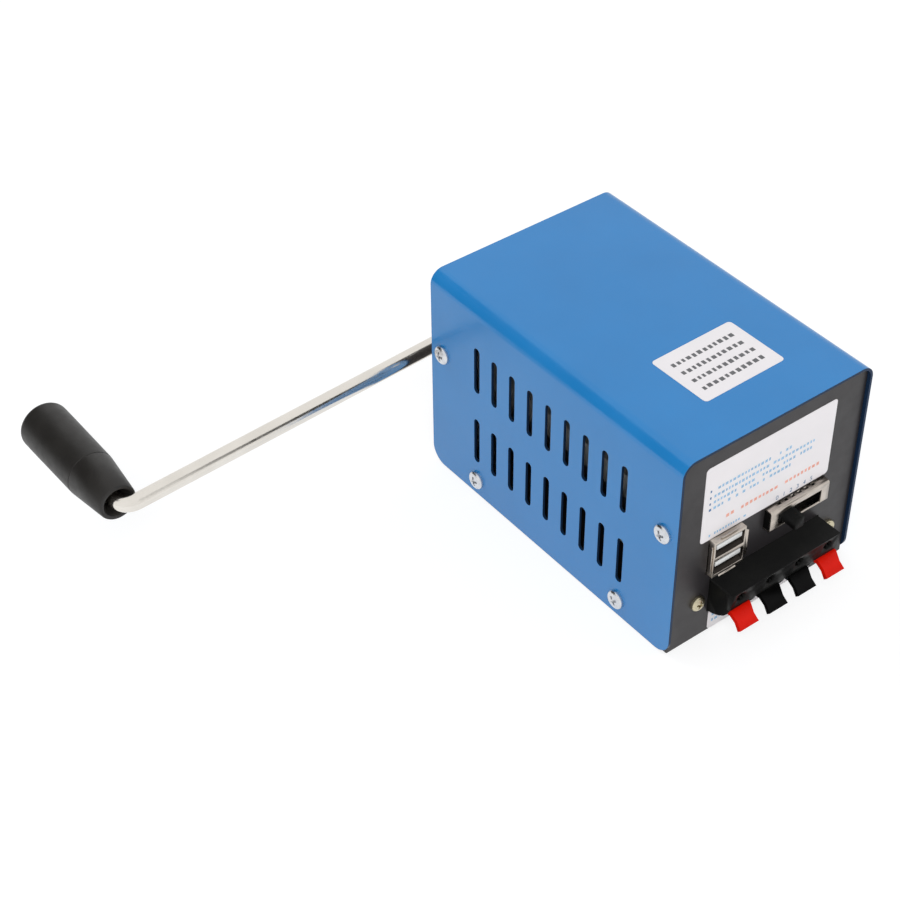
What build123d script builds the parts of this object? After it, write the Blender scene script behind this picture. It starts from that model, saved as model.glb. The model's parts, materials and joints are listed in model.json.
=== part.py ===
from build123d import *

import os
from math import acos, atan2, cos, degrees, pi, radians, sin, sqrt, tan

os.makedirs("parts", exist_ok=True)

# Hand crank generator: a folded steel case with slotted sides, a bent crank on its rear
# and the output sockets on its front. Millimetres. The front faces -Y, X runs to the right
# as seen from the front, +Z is up, and the origin is the middle of the base it stands on.
# Round work that nobody looks at is drawn as a many-sided prism, to keep the model light.

# ---------------------------------------------------------------- driving dimensions

# Cover: one sheet folded over the top and both sides
case_length = 128.0
case_width = 82.5
case_height = 83.8
cover_sheet = 1.0
cover_bend_radius = 5.2
cover_corner_radius = 6.5
cover_lift = 0.3

# Vents: columns of slots in two rows on each side
vent_columns = 9
vent_pitch = 9.55
vent_width = 3.0
vent_height = 19.4
vent_row_pitch = 31.5
vent_mid_height = 40.85
vent_end_chords = 2

# Chassis: floor and end panels folded from one sheet, with flanges for the cover's screws
chassis_sheet = 1.0
chassis_slip = 0.15
chassis_bend_radius = 1.1
panel_recess = 1.27
panel_top_gap = 0.3
panel_flange_depth = 12.0
panel_flange_low = 16.0
panel_flange_top_gap = 9.0
floor_flange_length = 92.0
floor_flange_height = 13.0
flange_corner_radius = 2.5

# Screws that hold the cover
end_screw_inset = 6.5
end_screw_height = 51.8
floor_screw_spacing = 76.0
floor_screw_height = 7.0
screw_radius = 1.5
screw_play = 0.05
screw_head_radius = 3.5
screw_head_height = 1.9
screw_length = 6.0
screw_head_sides = 10
screw_shank_sides = 6
hole_sides = 6
small_head_sides = 8

# Labels
label_thickness = 0.15
label_corner = 0.6
front_label_width = 57.1
front_label_x = -1.35
front_label_top_gap = 6.7
front_label_socket_gap = 0.25
lower_label_width = 47.6
lower_label_gap = 0.25
lower_label_x = 1.1
lower_label_low = 0.9
top_label_width = 35.0
top_label_depth = 25.0
top_label_x = 2.5
top_label_inset = 31.5
top_label_turn = -2.0

# Circuit board
board_top = 28.35
board_thickness = 1.6
board_side_gap = 3.1
board_depth = 30.0
board_gap = 0.5
standoff_radius = 2.75
standoff_side_inset = 4.5
standoff_front_inset = 11.2
standoff_rear_inset = 3.6
standoff_thread_depth = 8.0
small_screw_head_radius = 2.7
board_screw_length = 7.0

# Stacked sockets
usb_x = -18.5
usb_width = 13.9
usb_height = 15.3
usb_proud = 2.6
usb_depth = 17.0
usb_port_width = 12.6
usb_port_height = 5.9
usb_port_pitch = 7.4
usb_port_depth = 14.0
usb_tongue_width = 11.1
usb_tongue_height = 1.9
usb_tongue_recess = 1.2
usb_tongue_lift = 1.1
usb_tab_flare = 1.2
usb_tab_length = 1.9
usb_tab_sheet = 0.4
usb_tab_root_share = 0.55
usb_tab_share = 0.6
usb_flank_share = 0.72
cutout_play = 0.3

# Slide switch
switch_x = 12.6
switch_z = 38.6
switch_width = 26.6
switch_height = 8.6
switch_proud = 2.9
switch_sheet = 0.6
switch_frame_depth = 9.0
switch_bend_radius = 0.9
switch_window_width = 19.6
switch_window_height = 5.5
switch_window_drop = 0.75
switch_positions = 6
switch_notch_width = 1.3
switch_notch_depth = 1.1
switch_base_depth = 7.0
switch_leg_count = 8
switch_leg_size = 0.7
knob_x = 7.7
knob_width = 4.0
knob_height = 4.8
knob_proud = 5.2
knob_edge = 0.4
carriage_width = 7.0
carriage_thickness = 2.9
slide_play = 0.3

# Push terminals
terminal_count = 4
terminal_pitch = 13.2
terminal_x = 1.3
terminal_width = 49.2
terminal_top = 25.0
terminal_low = 10.0
terminal_proud = 10.6
terminal_face_low = 17.4
terminal_face_lean = 0.8
terminal_underside = ((0.9, 2.1), (2.3, 3.9), (4.6, 5.5), (7.2, 6.7))
terminal_rear_depth = 5.0
terminal_wall = 1.0
terminal_slab = 2.1
terminal_ear = 3.2
terminal_flange_height = 16.6
terminal_flange_thickness = 2.0
terminal_flange_low = 9.0
terminal_flange_corner = 3.0
terminal_screw_spacing = 59.4
terminal_screw_z = 17.1
terminal_screw_head_radius = 3.0
terminal_screw_end = 0.8
terminal_nut_height = 2.3
terminal_nut_across = 5.5
wire_hole_radius = 1.9
wire_hole_sides = 8
wire_hole_shift = -0.5
wire_hole_z = 21.95
contact_width = 3.0
contact_sheet = 0.4
contact_setback = 0.2
contact_drop_depth = 2.5
lever_pin_radius = 0.75
lever_pin_sides = 8
lever_pin_out = 2.3
lever_pin_z = 19.0
lever_pin_seat = 1.0
lever_hub_radius = 1.7
lever_hub_sides = 12
lever_width = 11.0
lever_play = 0.3
lever_bore_play = 0.05
lever_plate = 1.4
lever_plate_gap = 1.0
lever_plate_top = 21.9
lever_shelf = 1.9
lever_stop_gap = 0.4
tab_angle = 46.0
tab_length = 6.9
tab_thickness = 1.7
tab_root_width = 9.0
tab_waist_width = 7.5
tab_waist_share = 0.55
tab_tip_width = 8.3

# Crank
crank_height = 41.6
crank_reach = 161.5
crank_droop = 3.0
crank_stand_off = 13.57
rod_radius = 3.0
rod_bend_radius = 5.5
rod_seat_depth = 10.0
rod_seat_play = 0.05
rod_sides = 12
bend_gap = 0.2
hub_radius = 6.5
hub_gap = 0.3
hub_chamfer = 0.8
journal_radius = 5.0
tail_radius = 3.0
grub_screw_radius = 1.5
grub_screw_recess = 0.3
turned_sides = 12
running_play = 0.05
crank_bush_radius = 7.0
crank_bush_flange_radius = 9.0
crank_bush_flange = 1.2

# Grip
grip_length = 52.8
grip_gap = 3.5
grip_mouth_radius = 7.0
grip_shoulder = 18.0
grip_shoulder_radius = 9.0
grip_radius = 9.25
grip_end_radius = 2.4
grip_mouth_edge = 0.6
grip_sides = 24
grip_recess_radius = 5.4
grip_recess_depth = 5.0
grip_socket_radius = 6.4
grip_socket_depth = 11.5
grip_plug_depth = 7.0
grip_plug_radius = 6.3
grip_plug_crown = 0.5
grip_washer_radius = 5.2
grip_washer_thickness = 1.0
grip_play = 0.3

# Gears: involute teeth, two steps up from the crank to the generator
pressure_angle = 20.0
tooth_play = 0.14
root_factor = 1.25
pinion_addendum = 1.0
wheel_addendum = 0.75
first_module = 0.7
first_wheel_teeth = 56
first_pinion_teeth = 14
second_module = 0.6
second_wheel_teeth = 48
second_pinion_teeth = 12
first_gear_width = 6.0
second_gear_width = 5.0
pinion_extra_width = 0.4
gear_side_gap = 1.5
wheel_hub_radius = 7.2
wheel_hub_length = 4.3
lightening_holes = 6
lightening_sides = 8
lightening_radius = 3.2
lightening_pitch_radius = 13.0
gear_pin_radius = 1.0
gear_pin_setback = 0.2

# Gear frame
rear_plate_thickness = 2.0
front_plate_thickness = 2.5
plate_side_gap = 1.1
plate_height = 64.0
plate_low = 2.5
plate_corner_radius = 4.0
pillar_inset = 4.0
pillar_radius = 3.0
pillar_sides = 8
pillar_thread_depth = 5.5
pillar_screw_grip = 4.5
bush_wall = 1.6
bush_flange = 0.8
bush_flange_extra = 1.0
shaft_end_gap = 0.3
countershaft_radius = 3.0
countershaft_seat_radius = 4.0

# Generator
generator_x = 3.0
generator_floor_gap = 1.1
can_radius = 21.0
can_sides = 16
can_wall = 1.8
can_length = 62.0
can_front_wall = 2.0
can_edge_radius = 1.5
can_boss_radius = 8.5
can_boss_height = 2.2
can_bush_radius = 4.5
can_bush_length = 7.5
can_screw_spacing = 29.0
can_screw_angle = 45.0
can_screw_end = 0.3
cap_flange = 3.0
cap_plug = 3.5
cap_hollow_radius = 16.0
cap_wall = 1.8
cap_boss_radius = 6.5
cap_boss_height = 4.2
cap_bush_step = 0.5
magnet_thickness = 2.9
magnet_length = 40.0
magnet_span = 130.0
magnet_chords = 6
magnet_shift = 1.0
air_gap = 0.7
core_length = 34.0
core_slots = 5
core_slot_radius = 3.4
core_slot_mouth = 2.2
core_slot_cover = 1.4
core_slot_sides = 8
winding_play = 0.1
winding_overhang = 5.0
winding_end_gap = 0.5
generator_shaft_radius = 2.0
shaft_tail_length = 0.5
shaft_nose_length = 0.3
commutator_radius = 5.5
commutator_length = 6.6
brush_size = 4.2
brush_length = 7.0
brush_gap = 0.06
holder_wall = 0.8
holder_length = 7.4
holder_end_gap = 0.4
output_tab_width = 6.3
output_tab_sheet = 0.8
output_tab_length = 7.0
output_tab_x = 12.0
lead_radius = 0.7
lead_sides = 6
lead_bend = 2.2
lead_bend_share = 0.9
lead_reach = 8.0

# Parts on the board, placed from its middle
capacitor_radius = 5.0
capacitor_sides = 16
capacitor_height = 17.0
capacitor_edge = 0.8
capacitor_spots = ((10.0, 5.5), (22.0, 5.5))
choke_radius = 6.0
choke_hole_radius = 2.8
choke_height = 6.5
choke_edge_inset = 12.9
choke_rear_shift = 5.6
bridge_width = 15.0
bridge_depth = 3.6
bridge_height = 11.0
bridge_corner = 2.5
bridge_spot = (14.0, -3.5)
regulator_width = 10.2
regulator_depth = 4.5
regulator_height = 15.0
regulator_spot = (-4.5, 1.5)
sink_width = 16.0
sink_height = 22.0
sink_base = 1.6
sink_fin = 1.0
sink_fin_depth = 6.0
sink_fins = 5

# ---------------------------------------------------------------- derived places

half_length = case_length / 2
half_width = case_width / 2
panel_y = half_length - panel_recess
panel_inner_y = panel_y - chassis_sheet
chassis_half_width = half_width - cover_sheet - chassis_slip
panel_top = case_height - cover_sheet - panel_top_gap
panel_corner_radius = cover_bend_radius - cover_sheet - chassis_slip
front_y = -panel_y

end_screw_y = half_length - end_screw_inset
side_screws = [(side * end_screw_y, end_screw_height) for side in (-1, 1)]
side_screws += [(side * floor_screw_spacing / 2, floor_screw_height) for side in (-1, 1)]

board_low = board_top - board_thickness
board_width = 2 * (chassis_half_width - chassis_sheet - board_side_gap)
standoff_x = board_width / 2 - standoff_side_inset
board_front_y = -panel_inner_y + board_gap
board_mid_y = board_front_y + board_depth / 2
standoff_spots = [
    (side * standoff_x, y)
    for side in (-1, 1)
    for y in (board_front_y + standoff_front_inset, board_front_y + board_depth - standoff_rear_inset)
]

terminal_spots = [
    terminal_x + (slot - (terminal_count - 1) / 2) * terminal_pitch for slot in range(terminal_count)
]

first_wheel_radius = first_module * first_wheel_teeth / 2
first_pinion_radius = first_module * first_pinion_teeth / 2
second_wheel_radius = second_module * second_wheel_teeth / 2
second_pinion_radius = second_module * second_pinion_teeth / 2
first_centres = first_wheel_radius + first_pinion_radius
second_centres = second_wheel_radius + second_pinion_radius
generator_z = chassis_sheet + generator_floor_gap + can_radius
axis_drop = crank_height - generator_z
axis_distance = sqrt(generator_x**2 + axis_drop**2)
along_axes = (first_centres**2 - second_centres**2 + axis_distance**2) / (2 * axis_distance)
beside_axes = sqrt(first_centres**2 - along_axes**2)
counter_x = (generator_x * along_axes - axis_drop * beside_axes) / axis_distance
counter_z = crank_height - (axis_drop * along_axes + generator_x * beside_axes) / axis_distance
first_mesh_angle = degrees(atan2(counter_z - crank_height, counter_x))
second_mesh_angle = degrees(atan2(generator_z - counter_z, generator_x - counter_x))

rear_plate_y = panel_inner_y - rear_plate_thickness
first_gear_y = rear_plate_y - gear_side_gap
second_gear_y = first_gear_y - first_gear_width - gear_side_gap
front_plate_y = second_gear_y - second_gear_width - gear_side_gap
can_y = front_plate_y - front_plate_thickness
can_rear_y = can_y - can_length
plate_width = 2 * (chassis_half_width - chassis_sheet - plate_side_gap)
pillar_x = plate_width / 2 - pillar_inset
pillar_spots = [
    (side * pillar_x, z)
    for side in (-1, 1)
    for z in (plate_low + pillar_inset, plate_low + plate_height - pillar_inset)
]

crank_y = panel_y + crank_stand_off
grip_x = -crank_reach * cos(radians(crank_droop))
grip_z = crank_height - crank_reach * sin(radians(crank_droop))


# ---------------------------------------------------------------- shared helpers


def at_y(y):
    """A plane across the case at this Y: it faces the front, X to the right and Z up."""
    return Plane.XZ.offset(-y)


def at_x(x):
    """A plane along the case at this X: it faces +X, with Y across it and Z up."""
    return Plane.YZ.offset(x)


def stack(layers, x, z, sides):
    """A many-sided turned piece about the line along Y through x and z.

    Each layer is (low y, high y, outer radius, bore). A bore of 0 is solid.
    """
    with BuildPart() as piece:
        for low_y, high_y, outer_radius, _ in layers:
            with BuildSketch(at_y(high_y)):
                with Locations((x, z)):
                    RegularPolygon(outer_radius, sides)
            extrude(amount=high_y - low_y)
        for low_y, high_y, _, bore in layers:
            if bore > 0:
                with BuildSketch(at_y(high_y)):
                    with Locations((x, z)):
                        RegularPolygon(bore, sides)
                extrude(amount=high_y - low_y, mode=Mode.SUBTRACT)
    return piece


def faceted(stations, x, z, sides, hollow):
    """A many-sided turned piece about the line along Y, from its (corner radius, y) stations.

    A hollow one closes from its last station back to its first. A solid one ends in flat caps.
    """
    rings = [
        [
            (x + radius * cos(2 * pi * side / sides), y, z + radius * sin(2 * pi * side / sides))
            for side in range(sides)
        ]
        for radius, y in stations
    ]
    panels = []
    for near, far in zip(rings, rings[1:] + rings[:1] if hollow else rings[1:]):
        for side in range(sides):
            panels.append([near[side - 1], near[side], far[side], far[side - 1]])
    if not hollow:
        panels += [rings[0], rings[-1]]
    return Solid(Shell([Face(Wire.make_polygon(corners)) for corners in panels]))


def running_bore(radius, sides):
    """The corner radius of a many-sided bore that a shaft of this radius turns in freely."""
    return (radius + running_play) / cos(pi / sides)


def round_hole(radius=screw_radius + screw_play, mode=Mode.ADD):
    """A screw's clearance hole, whose flats clear the shank all round."""
    RegularPolygon(radius, hole_sides, major_radius=False, mode=mode)


def screw(length, head_radius, head_sides):
    """A plain screw that stands on its seat at the origin, head up along Z."""
    with BuildPart() as made:
        with BuildSketch(Plane.XY):
            RegularPolygon(head_radius, head_sides)
        extrude(amount=screw_head_height)
        with BuildSketch(Plane.XY):
            RegularPolygon(screw_radius, screw_shank_sides)
        extrude(amount=-length)
    return made


def copies(piece, places):
    """The same piece at each place, as a group of separate solids."""
    with BuildPart() as group:
        with Locations(*places):
            add(piece.part)
    return group


def finish(piece, node):
    """Name a finished piece and write it out."""
    piece.part.label = node
    export_step(piece.part, f"parts/{node}.step")


# ---------------------------------------------------------------- cover

vent_end = [
    (vent_width / 2 * cos(pi * step / vent_end_chords), vent_width / 2 * sin(pi * step / vent_end_chords))
    for step in range(vent_end_chords + 1)
]
vent_straight = (vent_height - vent_width) / 2
vent_outline = [(u, v + vent_straight) for u, v in vent_end] + [(-u, -v - vent_straight) for u, v in vent_end]

with BuildPart() as cover:
    with BuildSketch(at_y(half_length)):
        with Locations((0, cover_lift)):
            Rectangle(case_width, case_height - cover_lift, align=(Align.CENTER, Align.MIN))
    extrude(amount=case_length)
    fillet(cover.edges().filter_by(Axis.Y).group_by(Axis.Z)[-1], cover_bend_radius)
    with BuildSketch(at_y(half_length)) as hollow:
        with Locations((0, cover_lift)):
            Rectangle(
                case_width - 2 * cover_sheet,
                case_height - cover_sheet - cover_lift,
                align=(Align.CENTER, Align.MIN),
            )
        fillet(hollow.vertices().group_by(Axis.Y)[-1], cover_bend_radius - cover_sheet)
    extrude(amount=case_length, mode=Mode.SUBTRACT)
    fillet(cover.edges().filter_by(Axis.X).group_by(Axis.Z)[0], cover_corner_radius)
    with BuildSketch(at_x(-half_width)):
        with Locations((0, vent_mid_height)):
            with GridLocations(vent_pitch, vent_row_pitch, vent_columns, 2):
                Polygon(*vent_outline)
        with Locations(*side_screws):
            round_hole()
    extrude(amount=case_width, mode=Mode.SUBTRACT)
finish(cover, "cover")

cover_screw = screw(screw_length, screw_head_radius, screw_head_sides)
cover_screw_places = [
    Plane(origin=(side * half_width, y, z), x_dir=(0, 1, 0), z_dir=(side, 0, 0))
    for side in (-1, 1)
    for y, z in side_screws
]
cover_screws = copies(cover_screw, cover_screw_places)
finish(cover_screws, "cover_screws")

# ---------------------------------------------------------------- chassis

with BuildPart() as chassis:
    with BuildSketch(Plane.XY):
        Rectangle(2 * chassis_half_width, 2 * panel_y)
    extrude(amount=chassis_sheet)
    for back_y in (panel_y, chassis_sheet - panel_y):
        with BuildSketch(at_y(back_y)) as panel:
            Rectangle(2 * chassis_half_width, panel_top, align=(Align.CENTER, Align.MIN))
            fillet(panel.vertices().group_by(Axis.Y)[-1], panel_corner_radius)
        extrude(amount=chassis_sheet)
    fillet(chassis.edges().filter_by(Axis.X).group_by(Axis.Z)[0], chassis_bend_radius)
    for inner_x in (-chassis_half_width, chassis_half_width - chassis_sheet):
        with BuildSketch(at_x(inner_x)) as flanges:
            for end in (-1, 1):
                flange_height = panel_top - panel_flange_top_gap - panel_flange_low
                with Locations((end * (panel_inner_y - panel_flange_depth / 2), panel_flange_low)):
                    Rectangle(panel_flange_depth, flange_height, align=(Align.CENTER, Align.MIN))
            with Locations((0, chassis_sheet)):
                Rectangle(floor_flange_length, floor_flange_height, align=(Align.CENTER, Align.MIN))
            free_corners = [
                corner
                for corner in flanges.vertices()
                if abs(corner.X) < panel_inner_y - flange_corner_radius
                and corner.Y > chassis_sheet + flange_corner_radius
            ]
            chamfer(free_corners, flange_corner_radius)
        extrude(amount=chassis_sheet)
    with BuildSketch(at_x(-chassis_half_width)):
        with Locations(*side_screws):
            round_hole()
    extrude(amount=2 * chassis_half_width, mode=Mode.SUBTRACT)
    with BuildSketch(at_y(chassis_sheet - panel_y)):
        with Locations((usb_x, board_top + usb_height / 2)):
            Rectangle(usb_width + 2 * cutout_play, usb_height + 2 * cutout_play)
        with Locations((switch_x, switch_z)):
            Rectangle(switch_width + 2 * cutout_play, switch_height + 2 * cutout_play)
        with Locations((terminal_x, (terminal_top + terminal_low) / 2)):
            Rectangle(terminal_width + 2 * cutout_play, terminal_top - terminal_low + 2 * cutout_play)
        with Locations((terminal_x, terminal_screw_z)):
            with GridLocations(terminal_screw_spacing, 1, 2, 1):
                round_hole()
    extrude(amount=chassis_sheet, mode=Mode.SUBTRACT)
    with BuildSketch(at_y(panel_y)):
        with Locations((0, crank_height)):
            RegularPolygon(crank_bush_radius + screw_play, turned_sides)
        with Locations(*pillar_spots):
            round_hole()
    extrude(amount=chassis_sheet, mode=Mode.SUBTRACT)
finish(chassis, "chassis")

# ---------------------------------------------------------------- labels

with BuildPart() as top_label:
    with BuildSketch(Plane.XY.offset(case_height)) as sticker:
        with Locations(Location((top_label_x, top_label_inset - half_length, 0), (0, 0, top_label_turn))):
            Rectangle(top_label_width, top_label_depth)
        chamfer(sticker.vertices(), label_corner)
    extrude(amount=label_thickness)
finish(top_label, "top_label")

front_label_low = board_top + usb_height + front_label_socket_gap
front_label_height = panel_top - front_label_top_gap - front_label_low
with BuildPart() as front_label:
    with BuildSketch(at_y(front_y)) as sticker:
        with Locations((front_label_x, front_label_low + front_label_height / 2)):
            Rectangle(front_label_width, front_label_height)
        chamfer(sticker.vertices(), label_corner)
    extrude(amount=label_thickness)
finish(front_label, "front_label")

with BuildPart() as lower_label:
    with BuildSketch(at_y(front_y)):
        with Locations((lower_label_x, lower_label_low)):
            Rectangle(
                lower_label_width,
                terminal_low - lower_label_gap - lower_label_low,
                align=(Align.CENTER, Align.MIN),
            )
    extrude(amount=label_thickness)
finish(lower_label, "lower_label")

# ---------------------------------------------------------------- circuit board

with BuildPart() as circuit_board:
    with BuildSketch(Plane.XY.offset(board_low)):
        with Locations((0, board_mid_y)):
            Rectangle(board_width, board_depth)
        with Locations(*standoff_spots):
            round_hole(mode=Mode.SUBTRACT)
    extrude(amount=board_thickness)
finish(circuit_board, "circuit_board")

with BuildPart() as board_standoffs:
    with BuildSketch(Plane.XY.offset(chassis_sheet)):
        with Locations(*standoff_spots):
            RegularPolygon(standoff_radius, 6)
    extrude(amount=board_low - chassis_sheet)
    with BuildSketch(Plane.XY.offset(board_low)):
        with Locations(*standoff_spots):
            round_hole()
    extrude(amount=-standoff_thread_depth, mode=Mode.SUBTRACT)
finish(board_standoffs, "board_standoffs")

board_screw = screw(board_screw_length, small_screw_head_radius, small_head_sides)
board_screws = copies(board_screw, [(x, y, board_top) for x, y in standoff_spots])
finish(board_screws, "board_screws")

with BuildPart() as filter_capacitors:
    with BuildSketch(Plane.XY.offset(board_top)):
        with Locations(*[(x, board_mid_y + y) for x, y in capacitor_spots]):
            RegularPolygon(capacitor_radius, capacitor_sides)
    extrude(amount=capacitor_height)
    chamfer(filter_capacitors.edges().group_by(Axis.Z)[-1], capacitor_edge)
finish(filter_capacitors, "filter_capacitors")

with BuildPart() as choke_coil:
    with BuildSketch(Plane.XY.offset(board_top)):
        with Locations((choke_edge_inset - board_width / 2, board_mid_y + choke_rear_shift)):
            RegularPolygon(choke_radius, capacitor_sides)
            RegularPolygon(choke_hole_radius, turned_sides, mode=Mode.SUBTRACT)
    extrude(amount=choke_height)
finish(choke_coil, "choke_coil")

with BuildPart() as bridge_rectifier:
    with BuildSketch(Plane.XY.offset(board_top)):
        with Locations((bridge_spot[0], board_mid_y + bridge_spot[1])):
            Rectangle(bridge_width, bridge_depth)
    extrude(amount=bridge_height)
    chamfer(bridge_rectifier.edges().filter_by(Axis.Y).group_by(Axis.Z)[-1].sort_by(Axis.X)[0], bridge_corner)
finish(bridge_rectifier, "bridge_rectifier")

regulator_y = board_mid_y + regulator_spot[1]
with BuildPart() as voltage_regulator:
    with BuildSketch(Plane.XY.offset(board_top)):
        with Locations((regulator_spot[0], regulator_y)):
            Rectangle(regulator_width, regulator_depth)
    extrude(amount=regulator_height)
finish(voltage_regulator, "voltage_regulator")

with BuildPart() as heat_sink:
    with BuildSketch(Plane.XY.offset(board_top)):
        with Locations((regulator_spot[0], regulator_y + regulator_depth / 2)):
            Rectangle(sink_width, sink_base, align=(Align.CENTER, Align.MIN))
        with Locations((regulator_spot[0], regulator_y + regulator_depth / 2 + sink_base)):
            with GridLocations((sink_width - sink_fin) / (sink_fins - 1), 1, sink_fins, 1):
                Rectangle(sink_fin, sink_fin_depth, align=(Align.CENTER, Align.MIN))
    extrude(amount=sink_height)
finish(heat_sink, "heat_sink")

# ---------------------------------------------------------------- stacked sockets

usb_mouth_y = front_y - usb_proud
usb_mid_z = board_top + usb_height / 2
usb_port_places = [(usb_x, usb_mid_z - usb_port_pitch / 2), (usb_x, usb_mid_z + usb_port_pitch / 2)]


def spring_tab(reach):
    """The side view of a flared tab whose root lies on the shell's wall at reach 0."""
    return Polygon(
        (0, reach - usb_tab_sheet / 2),
        (usb_tab_length, -usb_tab_sheet / 4),
        (usb_tab_length * usb_tab_root_share, -usb_tab_sheet / 4),
        (0, reach - usb_tab_sheet * 3 / 2),
        mode=Mode.PRIVATE,
    )


usb_tab_profile = spring_tab(usb_tab_flare + usb_tab_sheet / 2)

with BuildPart() as usb_shell:
    with BuildSketch(at_y(usb_mouth_y + usb_depth)):
        with Locations((usb_x, usb_mid_z)):
            Rectangle(usb_width, usb_height)
    extrude(amount=usb_depth)
    with BuildSketch(at_y(usb_mouth_y + usb_port_depth)):
        with Locations(*usb_port_places):
            Rectangle(usb_port_width, usb_port_height)
    extrude(amount=usb_port_depth, mode=Mode.SUBTRACT)
    for side in (-1, 1):
        level = Plane(
            origin=(usb_x, usb_mouth_y, usb_mid_z + side * usb_height / 2), x_dir=(0, 1, 0), z_dir=(side, 0, 0)
        )
        with BuildSketch(level):
            add(usb_tab_profile)
        extrude(amount=usb_port_width * usb_tab_share / 2, both=True)
        flank = Plane(
            origin=(usb_x + side * usb_width / 2, usb_mouth_y, usb_mid_z), x_dir=(0, 1, 0), z_dir=(0, 0, -side)
        )
        with BuildSketch(flank):
            add(usb_tab_profile)
        extrude(amount=usb_height * usb_flank_share / 2, both=True)
finish(usb_shell, "usb_shell")

with BuildPart() as usb_tongues:
    with BuildSketch(at_y(usb_mouth_y + usb_port_depth)):
        with Locations(*[(x, z + usb_tongue_lift) for x, z in usb_port_places]):
            Rectangle(usb_tongue_width, usb_tongue_height)
    extrude(amount=usb_port_depth - usb_tongue_recess)
finish(usb_tongues, "usb_tongues")

# ---------------------------------------------------------------- slide switch

switch_face_y = front_y - switch_proud
switch_plate_y = switch_face_y + switch_sheet
switch_inner_height = switch_height - 2 * switch_sheet
window_z = switch_z - switch_window_drop
notch_pitch = (switch_window_width - knob_width - slide_play) / (switch_positions - 1)
track_y = switch_plate_y + slide_play + carriage_thickness + slide_play

with BuildPart() as switch_frame:
    with BuildSketch(at_x(switch_x - switch_width / 2)):
        with Locations((switch_face_y, switch_z)):
            Rectangle(switch_frame_depth, switch_height, align=(Align.MIN, Align.CENTER))
    extrude(amount=switch_width)
    front_bends = switch_frame.edges().filter_by(Axis.X).group_by(Axis.Y)[0]
    fillet(front_bends, switch_bend_radius)
    with BuildSketch(at_x(switch_x - switch_width / 2)) as channel:
        with Locations((switch_plate_y, switch_z)):
            Rectangle(switch_frame_depth, switch_inner_height, align=(Align.MIN, Align.CENTER))
        fillet(channel.vertices().group_by(Axis.X)[0], switch_bend_radius - switch_sheet)
    extrude(amount=switch_width, mode=Mode.SUBTRACT)
    with BuildSketch(at_y(switch_plate_y)):
        with Locations((switch_x, window_z)):
            Rectangle(switch_window_width, switch_window_height)
    extrude(amount=switch_sheet, mode=Mode.SUBTRACT)
    with BuildSketch(Plane.XY.offset(switch_z + switch_height / 2)):
        with Locations((switch_x, front_y - switch_notch_depth / 2)):
            with GridLocations(notch_pitch, 1, switch_positions, 1):
                Rectangle(switch_notch_width, switch_notch_depth)
    extrude(amount=-switch_sheet, mode=Mode.SUBTRACT)
finish(switch_frame, "switch_frame")

with BuildPart() as switch_base:
    with BuildSketch(at_y(track_y + switch_base_depth)):
        with Locations((switch_x, switch_z)):
            Rectangle(switch_width, switch_inner_height)
    extrude(amount=switch_base_depth + track_y - switch_plate_y - switch_bend_radius + switch_sheet)
    with BuildSketch(at_y(track_y)):
        with Locations((switch_x, switch_z)):
            Rectangle(switch_window_width + carriage_width - knob_width + slide_play, switch_inner_height)
    extrude(amount=track_y - switch_face_y, mode=Mode.SUBTRACT)
finish(switch_base, "switch_base")

switch_leg_y = track_y + switch_base_depth - 2 * switch_leg_size
with BuildPart() as switch_legs:
    with BuildSketch(Plane.XY.offset(board_top)):
        with Locations((switch_x, switch_leg_y)):
            with GridLocations(switch_window_width / (switch_leg_count - 1), 1, switch_leg_count, 1):
                Rectangle(switch_leg_size, switch_leg_size)
    extrude(amount=switch_z - switch_inner_height / 2 - board_top)
finish(switch_legs, "switch_legs")

carriage_y = switch_plate_y + slide_play + carriage_thickness
with BuildPart() as switch_knob:
    with BuildSketch(at_y(carriage_y)):
        with Locations((knob_x, switch_z)):
            Rectangle(carriage_width, switch_inner_height - 2 * slide_play)
    extrude(amount=carriage_thickness)
    with BuildSketch(at_y(carriage_y - carriage_thickness)):
        with Locations((knob_x, window_z)):
            Rectangle(knob_width, knob_height)
    extrude(amount=carriage_y - carriage_thickness - switch_face_y + knob_proud)
    chamfer(switch_knob.faces().sort_by(Axis.Y)[0].edges(), knob_edge)
finish(switch_knob, "switch_knob")

# ---------------------------------------------------------------- push terminals

terminal_face_y = front_y - terminal_proud
terminal_mouth_y = terminal_face_y + terminal_face_lean
terminal_rear_y = -panel_inner_y + terminal_rear_depth
slab_inner_y = terminal_face_y + terminal_slab + terminal_face_lean
lever_pin_y = front_y - lever_pin_out
cavity_top = terminal_top - terminal_wall
cavity_rear_y = lever_pin_y + lever_hub_radius + lever_play
cavity_width = lever_width + 2 * lever_play
terminal_flange_width = terminal_screw_spacing + 2 * terminal_ear

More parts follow.
